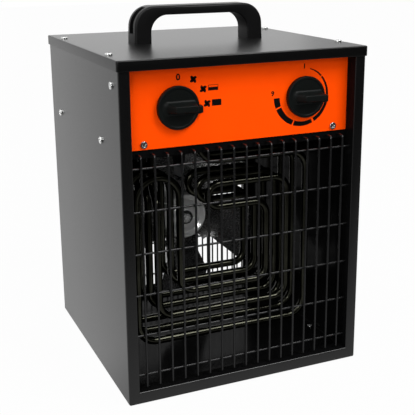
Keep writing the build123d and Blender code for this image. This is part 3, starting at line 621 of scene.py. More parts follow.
# %% [markdown]
# ## Fan blades
# The blades are pressed aluminium sheet, cambered and set at one pitch. A blade is a function of
# radius and angle: at each point the chord place c follows from x = c·cos(pitch) - h(c)·sin(pitch),
# where h is the camber, and the depth is then c·sin(pitch) + h(c)·cos(pitch). The two sides are that
# surface moved by half the sheet. Solidify could do this step too, but as rings of one shell both
# sides and the sheet's edges come out together. A blade's angle to either side is cut back at its
# rounded tip corners, and near the hub by the round notch that parts it from the next blade.

# %% Press the blades
fan_front, hub_radius = 38.5, 27.0
blade_half_angle, blade_pitch, blade_camber, blade_sheet = radians(25.0), radians(-26), 6.0, 1.2
blade_tip, blade_middle = 98.0, 53.5
blade_full, notch_middle = 58.0, 53.0         # radii of the full pitch and of the notch's centre
blade_root, blade_end, end_round = hub_radius - 1.2, blade_tip - 0.3, 9.0
blade_chord = blade_tip * np.tan(blade_half_angle) / np.cos(blade_pitch)


def blade_surface(radius, angle):
    """Points of the cambered sheet over polar places; c is found by going round the formula for x
    thrice. Near the hub the blades run together into one flat web, so their pitch fades out there."""
    x, z = radius * np.sin(angle), radius * np.cos(angle)
    c = x / np.cos(blade_pitch)
    for _ in range(3):
        camber = blade_camber * (0.5 - (c / blade_chord) ** 2)
        c = (x + camber * np.sin(blade_pitch)) / np.cos(blade_pitch)
    camber = blade_camber * (0.5 - (c / blade_chord) ** 2)
    way = np.clip((radius - hub_radius) / (blade_full - hub_radius), 0, 1)
    twist = way * way * (3 - 2 * way)
    depth = blade_middle + twist * (c * np.sin(blade_pitch) + camber * np.cos(blade_pitch))
    return np.stack([x, depth, z], -1)


across, along = np.meshgrid(np.linspace(-1, 1, 31), np.linspace(0, 1, 61))
blade_radius = blade_root + (blade_end - blade_root) * along
past_round = np.clip((blade_radius - (blade_end - end_round)) / end_round, 0, 1)
half_angle = blade_half_angle - (1 - np.sqrt(1 - past_round ** 2)) * end_round / blade_tip
half_fifth = np.pi / 5                # half of a blade's share of the circle
notch = notch_middle * np.sin(half_fifth - blade_half_angle)
open_half = np.sqrt(np.clip(notch ** 2 - np.clip(notch_middle - blade_radius, 0, None) ** 2, 0, None))
half_angle = np.where(blade_radius < notch_middle, half_fifth - np.arcsin(open_half / blade_radius),
                      half_angle)
face = blade_surface(blade_radius, across * half_angle)
wall = np.array([0, blade_sheet / np.cos(blade_pitch) / 2, 0])
blade = shell(np.concatenate([face + wall, (face - wall)[:, ::-1]], 1))
blades = [moved(blade, ((cos(a), 0, sin(a)), (0, 1, 0), (-sin(a), 0, cos(a))), (0, 0, fan_centre))
          for a in (radians(35 + 72 * i) for i in range(5))]
put("fan_blades", joined(blades), finishes["fan_aluminium"], "rotor", ("fan",))

# %% [markdown]
# ## Hub
# The blades are held by a bright pressed hub: a flat middle, a dome that falls away round it, a groove
# and a raised rim. Its rings of light and dark come from the profile alone. As a mirror it would turn
# black, because it faces the dark room, so its finish is a satin that is only partly metal.

# %% Turn the hub
bright_hub = finish("bright_hub", (0.88, 0.88, 0.87), (0.95, 0.95, 0.94), (0.14, 0.22), 300, 0.002, 0.4)
dome_start, dome_end, dome_fall = 10, 20, 5.5         # radii where the front falls back, and how far
dome = [(out, fan_front + dome_fall * ((out - dome_start) / (dome_end - dome_start)) ** 2)
        for out in np.linspace(dome_start, dome_end, 9)]
rim = [(20.8, fan_front + 6.0), (24.4, fan_front + 3.2), (26.0, fan_front + 2.8),
       (hub_radius, fan_front + 4.0)]
inside = [(hub_radius, 69.4), (25.4, 69.4), (25.4, fan_front + 10), (6.9, fan_front + 5), (6.9, 55.4),
          (4.06, 55.4)]
hub_profile = rounded([(4.06, fan_front)] + dome + rim + inside,
                      [0.1] * len(dome) + [0.35, 0.6, 0.6, 0.5, 0.5, 0.5, 1.5, 0.5, 0.3], 7)
put("fan_hub", turned(hub_profile, (0, fan_centre), 96, endless=True), bright_hub, "rotor",
    ("fan",))

# %% [markdown]
# ## Motor
# Behind the fan stands a small closed motor: a drawn steel can with a bearing nose, rolled seams near
# both ends and a ground shaft. Its front carries the fan, a rubber washer and a nut. Blender's Screw
# modifier could turn them. Here each is one profile of radius and depth, so that every seam is a
# number, and the profile closes on itself where the part has a bore.

# %% Turn the motor, its shaft and the washer
motor_profile = rounded([(4.1, 73.1), (9, 73.1), (11.8, 73.8), (11.8, 76.4), (29, 78.5), (33, 81), (35.9, 84),
                         (35.9, 92), (34.6, 92.6), (34.6, 112.0), (35.9, 112.6), (35.9, 120), (33, 123.0),
                         (4.1, 123.0)],
                        [0.5, 0.8, 0.8, 2, 1.5, 1.5, 0.4, 0.4, 0.4, 0.4, 1.5, 1.5], 6)
dress("motor", turned(motor_profile, (0, fan_centre), 72, endless=True))
shaft_profile = [(0.05, 34.0), (3.4, 34.0), (3.98, 34.6), (3.98, 93.8), (3.4, 94.0), (0.05, 94.0)]
dress("motor_shaft", turned(shaft_profile, (0, fan_centre), 32))
washer_profile = rounded([(4.1, 37.4), (8.4, 37.4), (8.4, 38.45), (4.1, 38.45), (4.1, 37.5)],
                         [0.3, 0.3, 0.2], 4)
dress("fan_washer", turned(washer_profile, (0, fan_centre), 40, endless=True))

# %% [markdown]
# ## Screws
# The casing's screws are zinc-plated pan heads with a cross recess. A boolean could cut the recess,
# but a head is only a height over polar places: a low dome with a rounded rim, less the recess, which
# is deep where a point lies near either arm's middle line and inside the cross's length. One head is
# worked out, turned a little as a driver leaves it, and copied to every place.

# %% Turn the screw heads
def pan_head(radius, height, cross_reach, cross_half, depth):
    """Height is a dome, height·(1 - 0.35·(r/R)² + 0.09·(r/R)⁴), falling to zero over the rim, less
    the recess, whose walls slope over a short stretch."""
    side_slope, end_slope = 0.18, 0.3
    turn = np.linspace(0, 2 * np.pi, 48, endpoint=False)[None, :]
    out = np.array([1.0, 1.0, 0.985, 0.94, 0.87, 0.78, 0.68, 0.6, 0.54, 0.48, 0.42, 0.34, 0.26, 0.2, 0.14,
                    0.07])[:, None]
    rim = np.array([0.0, 0.42, 0.6, 0.74, 0.83])[:, None]
    lift = np.vstack([rim, (1 - 0.35 * out ** 2 + 0.09 * out ** 4)[len(rim):]])
    x, y = radius * out * np.cos(turn), radius * out * np.sin(turn)
    near, far = np.minimum(np.abs(x), np.abs(y)), np.maximum(np.abs(x), np.abs(y))
    recess = (np.clip((cross_half - near) / side_slope + 0.5, 0, 1)
              * np.clip((cross_reach - far) / end_slope + 0.5, 0, 1))
    return shell(np.stack([x, y, height * lift - depth * recess], -1))


body_half, lid_top = 130.0, 341.4     # half the casing's width and depth, and the height of its lid
head = pan_head(radius=3.7, height=2.2, cross_reach=2.1, cross_half=0.55, depth=1.1)
tilt = radians(28)
turned_head = moved(head, ((cos(tilt), -sin(tilt), 0), (sin(tilt), cos(tilt), 0), (0, 0, 1)))
lid_places = [(x, y, lid_top) for x in (-124.5, 124.5) for y in (-86, 81)]
dress("lid_screws", joined(copies(turned_head, lid_places)))
side_places = [(-110.0, 316.7), (-69.3, 257.6), (90.0, 257.6)]
dress("side_screws", joined([moved(turned_head, turn, (side * body_half, y, z)) for side, turn in
                             ((-1, facing_left), (1, facing_right)) for y, z in side_places]))
panel_face = -115.0
dress("panel_screws", joined([moved(turned_head, facing_front, (x, panel_face, 259.5))
                              for x in (-102.5, 102.5)]))
dress("rear_screws", joined([moved(turned_head, facing_back, (x, body_half, z))
                             for x in (-124.25, 124.25) for z in (262, 325)]))

# %% [markdown]
# ## Casing
# The casing is one sheet of 1.2 mm folded into a U, with a flange round both openings, and the front
# flange turns back to carry the panel. Plates with bevels would not share their folds, so the sheet is
# made as one. Its section is two lines of (inset at the sides, inset at the floor, depth), one on each
# face of the sheet, and each of their points is carried along the U at its own inset. A U at an inset
# n has floor corners of radius r - n, so the folds are round outside and close up inside.

# %% Fold the casing
def folded_u(side, low, top, fold):
    """The U that the sheet follows at one inset: down one side, along the floor, up the other."""
    radius = max(fold - min(side, low), 0.1)
    angle = np.linspace(0, np.pi / 2, 6)
    x = np.concatenate([[body_half - side], body_half - side - radius + radius * np.cos(angle)])
    z = np.concatenate([[top], low + radius - radius * np.sin(angle)])
    return np.stack([np.concatenate([-x, x[::-1]]), np.concatenate([z, z[::-1]])], -1)


def folded_sheet(outer, inner, top, fold):
    """A closed shell from the two lines of a section: walls along the U, and a strip of quads over
    the sheet's edge at each end of it."""
    section = np.vstack([outer, inner[::-1]])
    ways = np.stack([folded_u(side, low, top, fold) for side, low, depth in section], 1)
    depth = np.broadcast_to(section[:, 2], ways.shape[:2])
    points = np.stack([ways[..., 0], depth, ways[..., 1]], -1)
    count, around = points.shape[:2]
    index = np.arange(count * around).reshape(count, around)
    after = np.roll(index, -1, axis=1)
    walls = np.stack([index[:-1], after[:-1], after[1:], index[1:]], -1).reshape(-1, 4)
    near, far = np.arange(len(outer)), around - 1 - np.arange(len(outer))
    strip = np.stack([near[:-1], near[1:], far[1:], far[:-1]], -1)
    points = points.reshape(-1, 3)
    return points, outwards(points - points.mean(0), [walls, index[0][strip[:, ::-1]], index[-1][strip]])


def box(low, high):
    """A plain block between two corners."""
    (x0, y0, z0), (x1, y1, z1) = low, high
    ring = np.array([(x0, y0), (x1, y0), (x1, y1), (x0, y1)], float)
    return shell(np.stack([np.insert(ring, 2, z0, 1), np.insert(ring, 2, z1, 1)]))


sheet, fold_radius, flange, floor_flange = 1.2, 2.0, 11.5, 12.8
inner_half, inner_fold = body_half - sheet, fold_radius - sheet
casing_top, front, back = 340.2, -body_half, body_half
outer_line = rounded([(flange, floor_flange, panel_face), (flange, floor_flange, front), (0, 0, front),
                      (0, 0, back), (flange, floor_flange, back)], [1.7, fold_radius, fold_radius], 7)
inner_line = rounded([(flange - sheet, floor_flange - sheet, panel_face),
                      (flange - sheet, floor_flange - sheet, front + sheet), (sheet, sheet, front + sheet),
                      (sheet, sheet, back - sheet), (flange, floor_flange, back - sheet)],
                     [0.5, inner_fold, inner_fold], 7)
ledge_wide, ledge_front, ledge_back = 12, -97.0, 124.6
ledges = [box((x, ledge_front, casing_top - sheet), (x + ledge_wide, ledge_back, casing_top))
          for x in (-inner_half, inner_half - ledge_wide)]
body = dress("casing_wrap", joined([folded_sheet(outer_line, inner_line, casing_top, fold_radius)] + ledges))

# %% [markdown]
# ## The casing's inside
# Inside, the same sheet is the fan's duct, smoother and blacker than the coat outside. One mesh can
# carry both: every face whose middle lies within the sheet's inner face takes the second finish.

# %% Paint the duct
body.data.materials.append(duct_black_and_painted_shade)
face_middles = np.empty(len(body.data.polygons) * 3)
body.data.polygons.foreach_get("center", face_middles)
offset = np.abs(face_middles.reshape(-1, 3) / millimetre - (0, 0, casing_top / 2))
duct_half = np.array((inner_half, inner_half, casing_top / 2 - sheet)) + 0.2
in_duct = (offset < duct_half).all(1)
body.data.polygons.foreach_set("material_index", in_duct.astype(np.int32))
print("faces in the duct:", int(in_duct.sum()), "of", len(in_duct))

# %% [markdown]
# ## Lid
# The lid is a tray that sits over the casing's top. A box with a bevel would be solid, and a tray has
# a hollow side and a rim as thick as its sheet. So its rings run from the hollow side, round the rim
# and over the tight fold, to the middle of its top. It has the casing's colour with a slightly weaker
# gloss, because it mirrors more of the white behind it.

# %% Press the lid
def round_box(half_x, half_y, radius, z):
    """One ring: a rectangle with rounded corners at a height."""
    turn = np.linspace(0, np.pi / 2, 8)[None, :] + np.arange(4)[:, None] * np.pi / 2
    sign_x, sign_y = np.array([1, -1, -1, 1])[:, None], np.array([1, 1, -1, -1])[:, None]
    x = sign_x * (half_x - radius) + radius * np.cos(turn)
    y = sign_y * (half_y - radius) + radius * np.sin(turn)
    return np.stack([x.ravel(), y.ravel(), np.full(x.size, float(z))], -1)


lid_black = finish("lid_black", powder_dark, powder_light, (0.28, 0.35), 1500, 0.04, ior=1.42)
lid_half, lid_low, lid_corner, lid_fold = 131.5, 331.2, 2.4, 1.25
fold_turn, rim_turn = np.linspace(0, np.pi / 2, 7), np.linspace(-np.pi, 0, 7)
rim_half = sheet / 2
rim_middle = lid_half - rim_half
hollow = [(lid_half - sheet - 6, lid_top - sheet), (lid_half - sheet - 0.4, lid_top - sheet),
          (lid_half - sheet, lid_top - sheet - 0.4)]
trace = (hollow
         + [(rim_middle + rim_half * np.cos(t), lid_low + rim_half + rim_half * np.sin(t)) for t in rim_turn]
         + [(lid_half - lid_fold * (1 - np.cos(t)), lid_top - lid_fold * (1 - np.sin(t))) for t in fold_turn]
         + [(lid_half - 8, lid_top)])
lid_rings = [round_box(half, half, max(lid_corner - (lid_half - half), 0.3), z) for half, z in trace]
dress("lid", shell(np.stack(lid_rings)), lid_black)

# %% [markdown]
# ## Handle
# The handle is one plain moulding with generous round edges, so that it can be carried in a full
# hand. Two lines in the XZ plane, one over its back and one under its bar, run together from foot to
# foot, and between each pair of points stands a rounded rectangle. A section of one size carried along
# one line would make a hoop, but here the feet are much thicker than the bar.

# %% Mould the handle
def paired_line(half_foot, half_top, top, radius):
    """A line from foot to foot with two round shoulders, its points counted out by stretch: leg, arc
    and half bar, so that two such lines pair up point by point."""
    leg, arc, bar = 9, 19, 24
    corner = rounded([(-half_foot, 0.0), (-half_top, top), (0.0, top)], [radius], arc)
    leg_part = corner[0] + (corner[1] - corner[0]) * np.linspace(0, 1, leg)[:-1, None]
    bar_part = corner[-2] + (corner[-1] - corner[-2]) * np.linspace(0, 1, bar)[1:, None]
    side = np.vstack([leg_part, corner[1:-1], bar_part])
    return np.vstack([side, side[-2::-1] * (-1, 1)])


def between(outer, inner, half_depth, outer_round, inner_round):
    """A rounded rectangle on each pair of points: its long way is the line between them, its width is
    along Y, and its corners are rounder on the outer line than on the inner one."""
    middle, reach = (outer + inner) / 2, np.linalg.norm(outer - inner, axis=1) / 2
    way = (outer - inner) / (2 * reach[:, None])
    turn = np.linspace(0, np.pi / 2, 6)[None, :] + np.arange(4)[:, None] * np.pi / 2
    radius = np.array([outer_round, inner_round, inner_round, outer_round])[:, None]
    sign_u, sign_y = np.array([1, -1, -1, 1])[:, None], np.array([1, 1, -1, -1])[:, None]
    y = (sign_y * (half_depth - radius) + radius * np.sin(turn)).ravel()
    u = (sign_u * (reach[:, None, None] - radius) + radius * np.cos(turn)).reshape(len(reach), -1)
    flat = middle[:, None] + u[..., None] * way[:, None]
    return np.stack([flat[..., 0], np.broadcast_to(y, u.shape), flat[..., 1]], -1)


handle_half, handle_rise, handle_bar, handle_leg, handle_deep = 73.5, 38.3, 9.4, 18.5, 12.5
over_line = paired_line(handle_half, handle_half - 1.5, handle_rise, 22.0)
under_line = paired_line(handle_half - handle_leg, handle_half - handle_leg, handle_rise - handle_bar, 18.0)
bridge = shell(between(over_line, under_line, handle_deep, 2.6, 1.6))
handle = dress("handle", moved(bridge, by=(0, 0, lid_top)))

# %% [markdown]
# ## Screw pockets
# A deep pocket in each end of the handle, open at the end and at the top, lets a screw hold it down.
# The pocket doesn't follow the moulding's rings, so this is the one place where a boolean is worth
# its trouble. Its result is kept as a plain mesh, with the creases marked anew.

# %% Cut the pockets
def cut(piece, cutter_made):
    """Takes a shell out of a piece by a boolean difference and keeps the result as a plain mesh."""
    mesh = mesh_of("cutter", cutter_made)
    cutter = linked("cutter", mesh)
    modifier = piece.modifiers.new("pocket", "BOOLEAN")
    modifier.operation, modifier.solver, modifier.object = "DIFFERENCE", "EXACT", cutter
    result = bpy.data.meshes.new_from_object(piece.evaluated_get(bpy.context.evaluated_depsgraph_get()))
    piece.modifiers.clear()
    piece.data = result
    result.set_sharp_from_angle(angle=crease)
    bpy.data.objects.remove(cutter)
    bpy.data.meshes.remove(mesh)
    print(piece.name, "after the cut:", len(result.polygons), "faces")


pocket_half, pocket_long, pocket_floor, pocket_start = 5.5, 24, 10.0, 58.5
pocket_plan = rounded_loop([(0, -pocket_half), (pocket_long, -pocket_half), (pocket_long, pocket_half),
                            (0, pocket_half)], 1.2)
pocket = stacked(pocket_plan, [(0.0, 0.0), (0.0, 40.0)])
for side in (-1, 1):
    cut(handle, moved(pocket, ((side, 0, 0), (0, side, 0), (0, 0, 1)),
                      (side * pocket_start, 0, lid_top + pocket_floor)))

# %% [markdown]
# ## Knobs
# Both knobs come from one mould: a disc with a round rim, a grip across it whose sides lean in and
# flow out at the foot, and a pointer that runs out past the disc. The disc is a turned profile, hollow
# behind, and grip and pointer are outlines in layers. They only sink into each other, because in one
# black moulding the seam doesn't show. All of them look forwards from the panel.

# %% Mould the knobs
knob_back, knob_radius, knob_skirt, grip_rise, grip_flare = -115.5, 21.0, 5.5, 10.5, 3.2
hollow_radius, hollow_deep = 7.0, 3.2
skirt_y = knob_back - knob_skirt
disc_profile = rounded([(0.05, knob_back - hollow_deep), (hollow_radius, knob_back - hollow_deep),
                        (hollow_radius, knob_back), (knob_radius - 0.3, knob_back), (knob_radius, skirt_y),
                        (18.4, skirt_y), (17.6, skirt_y + 0.6), (0.05, skirt_y + 0.6)],
                       [0.2, 0.2, 0.4, 0.9, 0.5, 0.5], 7)
foot_turn = np.linspace(0, np.pi / 2, 7)
grip_layers = ([(-grip_flare, knob_skirt - 1.0)]
               + list(zip(-grip_flare + grip_flare * np.sin(foot_turn),
                          knob_skirt - 0.7 + grip_flare * (1 - np.cos(foot_turn))))
               + round_edge(0.9, knob_skirt + grip_rise, 1.5, 7)[1:])
grip_outline = rounded_loop([(-13.5, -4.6), (17.5, -4.6), (17.5, 4.6), (-13.5, 4.6)], 3.4, 9)
end_lean, lean_from, lean_over = 0.5, -4.0, 8.0       # the grip's blunt end slopes this much
nose_outline = rounded_loop([(6.0, -7.0), (21.6, -7.0), (24.6, -6.0), (24.6, 1.0), (6.0, 1.0)], 0.7, 5)
nose_layers = [(0.0, 0.2)] + round_edge(0.7, knob_skirt + 1.0, 0.3, 5)[1:]


def sloped_end(made):
    """The grip with its blunt end sloped: points beyond lean_from move inwards by end_lean times their
    height over the disc, and those near lean_from by a growing share of that."""
    points, faces = made
    share = np.clip((lean_from - points[:, 0]) / lean_over, 0, 1)
    shift = end_lean * share * np.clip(points[:, 2] - knob_skirt, 0, None)
    return points + shift[:, None] * np.array([1.0, 0, 0]), faces


def knob(x, z):
    """Disc, grip and pointer at their place on the panel."""
    raised = [moved(sloped_end(stacked(outline, layers)), facing_front, (x, knob_back, z))
              for outline, layers in ((grip_outline, grip_layers), (nose_outline, nose_layers))]
    return joined([turned(disc_profile, (x, z), 96)] + raised)


knob_x, knob_z = 68.5, 292.5
dress("selector_knob", knob(-knob_x, knob_z))
dress("thermostat_knob", knob(knob_x, knob_z))

# %% [markdown]
# ## Shapes for the print
# The marks on the panel are screen-printed in black. An image or a mask in the panel's material could
# carry them, but it would blur up close. So each mark is a thin shape that stands a tenth of a
# millimetre proud, like ink: bars, parts of rings and small fans.

# %% Draw bars, bands and fans
ink = 0.10
sunk = 0.05                           # each mark starts this far inside the panel


def slab(outline):
    """A flat outline (m, 2), seen from the front, as thick as the ink."""
    return moved(stacked(outline, [(0.0, -sunk), (0.0, ink)]), facing_front, (0, panel_face, 0))


def rectangle(x0, x1, z0, z1):
    """The four corners of a level rectangle."""
    return np.array([(x0, z0), (x1, z0), (x1, z1), (x0, z1)], float)


def band(centre, start, end, inside, outside):
    """Part of a ring, angles clockwise from the top; both its radii may change evenly along it."""
    steps = 40
    angle = np.radians(np.linspace(start, end, steps))
    way = np.stack([np.sin(angle), np.cos(angle)], -1)
    inner = np.array(centre) + way * np.linspace(inside[0], inside[1], steps)[:, None]
    outer = np.array(centre) + way * np.linspace(outside[0], outside[1], steps)[:, None]
    ring = np.stack([inner, outer, outer, inner], 1)
    depth = np.array([panel_face + sunk, panel_face + sunk, panel_face - ink, panel_face - ink])
    return shell(np.stack([ring[..., 0], np.broadcast_to(depth, ring.shape[:2]), ring[..., 1]], -1))


def small_fan(x, z):
    """Four leaning blades about a hub: each is an ellipse moved out and turned."""
    reach, lean = 3.9, radians(-28)
    turn = np.linspace(0, 2 * np.pi, 20, endpoint=False)
    leaf = np.stack([0.36 * reach * np.cos(turn), 0.55 * reach * np.sin(turn)], -1)
    leaf = leaf @ np.array([(cos(lean), -sin(lean)), (sin(lean), cos(lean))]).T + (0, 0.52 * reach)
    leaves = [slab(leaf @ np.array([(cos(a), sin(a)), (-sin(a), cos(a))]) + (x, z))
              for a in (radians(45 + 90 * i) for i in range(4))]
    dot = np.stack([0.24 * reach * np.cos(turn), 0.24 * reach * np.sin(turn)], -1) + (x, z)
    return leaves + [slab(dot)]


print("ink", ink, "mm thick on the face at y", panel_face)

# %% [markdown]
# ## Digits
# Plain numbers stand at the scale's two ends and at the selector's rest. Blender's own font draws
# them: the text becomes a mesh first, and its points are then scaled and laid on the panel, so that
# the finished mesh is in its place and the object isn't turned.

# %% Set the digits
def number(text, x, z, height):
    """Plain digits of a given height about a place, made a mesh and then laid on the panel."""
    curve = bpy.data.curves.new("digits", "FONT")
    curve.body, curve.extrude, curve.offset = text, 0.5, 0.04
    writing = linked("digits", curve)
    mesh = bpy.data.meshes.new_from_object(writing.evaluated_get(bpy.context.evaluated_depsgraph_get()))
    points = np.empty(len(mesh.vertices) * 3)
    mesh.vertices.foreach_get("co", points)
    points = points.reshape(-1, 3)
    groups = {}
    for face in mesh.polygons:
        groups.setdefault(len(face.vertices), []).append(tuple(face.vertices))
    bpy.data.objects.remove(writing)
    bpy.data.curves.remove(curve)
    bpy.data.meshes.remove(mesh)
    low, high = points.min(0), points.max(0)
    scale = height / (high[1] - low[1])
    flat = (points[:, :2] - (low[:2] + high[:2]) / 2) * scale + (x, z)
    depth = np.where(points[:, 2] > 0, panel_face - ink, panel_face + sunk)
    points = np.stack([flat[:, 0], depth, flat[:, 1]], -1)
    return points, outwards(points - points.mean(0), [np.array(rows) for rows in groups.values()])


digits = [number("0", -66.8, 321.0, 6.4), number("1", 68.3, 323.0, 5.0), number("9", 33.0, 297.8, 5.2)]
print("digits:", [len(points) for points, faces in digits], "points")

# %% [markdown]
# ## The marks in place
# Round the left knob stand a nought, a small fan for cold air, a fan beside a half-filled bar and one
# beside a full bar for the two heats. Round the right knob goes a scale of five bars that grows from a
# hairline to a broad band, so each bar's radii follow from how far along the scale its ends lie.

# %% Print the marks
panel_print = finish("panel_print", (0.003, 0.0026, 0.0026), (0.005, 0.0044, 0.0042), (0.42, 0.5), 900,
                     0.01, ior=1.15)
fan_places = ((-51.4, 317.9), (-41.4, 308.0), (-37.4, 293.7))
half_bar = ((-36.2, -25.8, 306.0, 309.2), (-36.2, -35.8, 308.9, 311.4), (-26.2, -25.8, 308.9, 311.4),
            (-35.8, -26.2, 311.0, 311.4))     # the filled half, then the lines round the empty one
full_bar = (-32.4, -22.6, 291.0, 297.2)
nought, *scale_ends = digits
marks = [nought] + [shape for place in fan_places for shape in small_fan(*place)]
marks += [slab(rectangle(*bar)) for bar in (*half_bar, full_bar)]
scale_middle = (knob_x - 1.5, knob_z + 1.1)
scale_bars = ((16, 48), (50.5, 153.5), (158, 200), (203, 247), (250, 268.5))      # degrees from the top
scale_reach = (scale_bars[0][0], scale_bars[-1][1])
for ends in scale_bars:
    inside, outside = (np.interp(ends, scale_reach, radii) for radii in ((27.0, 26.2), (27.9, 32.8)))
    marks.append(band(scale_middle, *ends, inside, outside))
put("panel_marks", joined(marks + scale_ends), panel_print, "heater")

# %% [markdown]
# ## Nuts, small screws and the motor's plate
# Nuts are cut from hexagon bar: at an angle t from the middle of a flat, the flat lies half/cos(t)
# from the middle line, and both ends are turned to a cone that takes the corners off in arcs. Rings of
# that outline follow the bore, the end face, the cone and the flats in turn, so no bevel is needed.
# The screws are pan heads like the others, and the plate is a stamped square with broken edges.

# %% Turn the nuts and small screws
def hexagon(half, bore, low, high, lean=0.5):
    """A nut that stands from low to high: half is half its width across flats, and both ends fall by
    lean for each millimetre outside a circle just inside the flats."""
    turn = np.linspace(0, 2 * np.pi, 96, endpoint=False)
    flat = half / np.cos(turn % (np.pi / 3) - np.pi / 6)
    face = 0.96 * half
    drop = lean * (flat - face)
    rows = [(bore, low), (face, low), (flat, low + drop), (flat, high - drop), (face, high), (bore, high)]
    rings = [np.stack([out * np.cos(turn), out * np.sin(turn), at + 0 * turn], -1) for out, at in rows]
    return shell(np.stack(rings), endless=True)


def standing(profile, x, y, endless=False, steps=40):
    """A turned piece whose line stands upright at (x, y); its profile is (radius, height)."""
    return moved(turned(profile, steps=steps, endless=endless), facing_front, (x, y, 0))


dress("fan_nut", moved(hexagon(6.5, 4.05, 0, 3.0), facing_front, (0, 37.3, fan_centre)))
handle_screw_places = [(x, 0, 0) for x in (-64, 64)]
dress("handle_nuts", joined(copies(hexagon(4.6, 2.55, 336.2, 340.2), handle_screw_places)))
seat = lid_top + pocket_floor         # where the heads sit in the handle's pockets
handle_head = pan_head(radius=4.4, height=3.0, cross_reach=2.7, cross_half=0.65, depth=1.5)
shank_profile = [(0.05, 335.2), (2.0, 335.2), (2.45, 335.8), (2.45, seat + 0.1), (0.05, seat + 0.1)]
handle_screw = joined([moved(handle_head, by=(0, 0, seat)), standing(shank_profile, 0, 0)])
dress("handle_screws", joined(copies(handle_screw, handle_screw_places)))
plate_half, motor_screw = 42.0, 34.0
plate_plan = rounded_loop(plate_half * np.array([(-1, -1), (1, -1), (1, 1), (-1, 1)]), 5.0, 8)
plate_layers = [(0.35, 0.0), (0.0, 0.3)] + round_edge(0.4, 1.5)[1:] + [(2.0, 1.5)]
dress("motor_plate", moved(stacked(plate_plan, plate_layers), facing_front, (0, 124.6, fan_centre)))
small_head = pan_head(radius=2.9, height=1.8, cross_reach=1.7, cross_half=0.45, depth=0.9)
dress("motor_screws", joined([moved(small_head, facing_front, (x, 123.1, fan_centre + z))
                              for x in (-motor_screw, motor_screw) for z in (-motor_screw, motor_screw)]))
put("floor_screws", joined([moved(small_head, by=(x, -45.0, sheet)) for x in (-123.5, 123.5)]),
    finishes["zinc_fastener"], "heater")

# %% [markdown]
# ## Ends of the elements
# Each leg of an element goes through the shelf in a brass ferrule. Above it the sheath is closed by a
# ceramic bead, and a steel pin comes out of the bead. One brass strip with round ends joins the three
# second ends, which is the star of a three-phase heater. All of them are small and alike, so one of
# each is turned and set at the six legs.

# %% Turn ferrules, beads and pins
leg_ends = [(first_leg, y) for y in element_planes] + [(second_leg, y + leg_jog) for y in element_planes]
bead_top, pin_top = 267.2, 279.2
ferrule = hexagon(6.5, 4.05, 247.2, 255.2)
bead_profile = rounded([(0.05, legs_top), (3.55, legs_top), (3.55, 264.6), (2.7, 265.4), (2.7, bead_top),
                        (0.05, bead_top)], [0.5, 0.5, 0.5, 0.5], 5)
pin_profile = [(0.05, bead_top), (1.5, bead_top), (1.5, pin_top - 0.5), (1.1, pin_top), (0.05, pin_top)]
dress("element_ferrules", joined(copies(ferrule, [(x, y, 0) for x, y in leg_ends])))
dress("element_beads", joined([standing(bead_profile, x, y) for x, y in leg_ends]))
dress("element_pins", joined([standing(pin_profile, x, y, steps=24) for x, y in leg_ends]))
link_plan = rounded_loop([(-79, -60), (-71, -60), (-71, 4), (-79, 4)], 3.6, 9)
link_layers = [(0.2, 0.0), (0.0, 0.2), (0.0, 1.3), (0.2, 1.5)]
dress("star_link", moved(stacked(link_plan, link_layers), by=(0, 0, 274.7)))

# %% [markdown]
# ## Leads
# The leads are round silicone-covered wires with easy bends, laid side by side: three from the
# selector to the elements and three from the terminals to the selector. They are short and held at
# both ends, so they follow plain routes, and tubes with round bends are enough for them.

# %% Lay the leads
lead_radius, lead_ways = 1.6, (-58.0, -68.5, -79.0)
slanting = (1, 1, 1)                  # never along a lead, so that no ring of its tube turns over
element_routes = [[(first_leg, y, pin_top), (first_leg, y, height), (way, y, height), (way, -85.8, height)]
                  for y, height, way in zip(element_planes, (286.0, 296.0, 306.0), lead_ways)]
dress("element_leads", joined([tube(rounded(route, [3, 4], 9), lead_radius, 16, slanting)
                               for route in element_routes]))
feed_routes = [[(way, 89, 269.2), (way, 89, 322), (way, -99.8, 322), (way, -99.8, 313.5)]
               for way in lead_ways]
dress("feed_leads", joined([tube(rounded(route, 6, 9), lead_radius, 16, slanting) for route in feed_routes]))

# %% [markdown]
# ## The thermostat's bulb
# The thermostat feels the air through a fine brass tube that ends in a bulb in the duct. The tube goes
# through the shelf in a rubber grommet with a groove for the sheet's edge. The tube is bent like the
# leads, and bulb and grommet are turned.

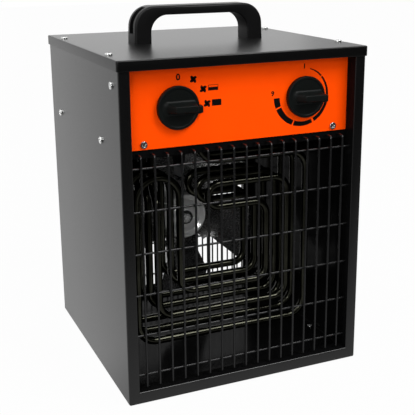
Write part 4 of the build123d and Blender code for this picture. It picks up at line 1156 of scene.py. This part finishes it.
# %% Bend the fine tube and turn its bulb
bulb_x, bulb_y = 104, 112
capillary_route = [(78, -83.8, 301), (78, -43.8, 301), (104, 50, 288), (bulb_x, bulb_y, 272),
                   (bulb_x, bulb_y, 217.5)]
capillary = tube(rounded(capillary_route, [15, 20, 12], 9), 1.0, 14, slanting)
bulb_profile = rounded([(0.05, 148), (3.3, 148), (3.3, 215.5), (1.2, 218), (0.05, 218)], [2.4, 1.5, 0.4], 7)
dress("thermostat_sensor", joined([capillary, standing(bulb_profile, bulb_x, bulb_y)]))
grommet_profile = rounded([(1.4, 246.1), (1.4, 246), (5, 246), (5, 247.2), (6.8, 247.2), (6.8, 248.7),
                           (1.4, 248.7), (1.4, 246.2)], [0.02, 0.3, 0.05, 0.2, 0.6, 0.5], 4)
dress("sensor_grommet", standing(grommet_profile, bulb_x, bulb_y, endless=True))

# %% [markdown]
# ## Cord inlet
# The inlet is a nylon gland: a threaded barrel through the rear panel with a nut inside, a hexagonal
# cap outside and a crown that closes on the cord. A true helix would hardly show, so the thread is a
# profile that steps in and out.

# %% Turn the gland
inlet = (-92.0, 290.0)
thread_radius, thread_depth = 9.0, 0.45
thread = [(thread_radius - thread_depth * (i % 4 in (0, 3)), y)
          for i, y in enumerate(np.arange(115.9, 128.6, 0.375))]
crown = rounded([(11.9, 137.0), (11.5, 137.8), (8.4, 143.8), (7.4, 144.8), (6.2, 144.8)], [0.4, 1.0, 0.5], 5)
gland_profile = ([(6.2, 115.6), (8.3, 115.6)] + thread
                 + [(thread_radius, 128.75), (11.9, 128.85), (11.9, 137.0)] + crown[1:].tolist())
gland_cap = moved(hexagon(12.5, 11.8, 0, 8.0, 0.4), facing_back, (inlet[0], 128.8, inlet[1]))
dress("cable_gland", joined([turned(gland_profile, inlet, 64, endless=True), gland_cap]))
dress("gland_nut", moved(hexagon(12.0, 9.1, 0, 5.0, 0.4), facing_back, (inlet[0], 122.6, inlet[1])))

# %% [markdown]
# ## Overheat cut-out
# The cut-out is a small round housing whose bush stands through the rear panel, with its plain red
# button in the middle. Both are turned, and the button keeps a small gap all round, because it moves.

# %% Turn the cut-out and its button
reset_place, bush_bore = (62.0, 290.0), 3.06
cutout_profile = rounded([(bush_bore, 111.7), (bush_bore, 111.6), (10.3, 111.6), (10.3, 127.6), (5.5, 127.6),
                          (5.5, 131.8), (bush_bore, 131.8), (bush_bore, 111.8)],
                         [0.02, 0.8, 0.3, 0.1, 0.6, 0.3], 5)
dress("thermal_cutout", turned(cutout_profile, reset_place, 56, endless=True))
button_profile = rounded([(0.05, 121.3), (2.95, 121.3), (2.95, 135.3), (0.05, 135.3)], [0.3, 0.9], 6)
dress("reset_button", turned(button_profile, reset_place, 40))
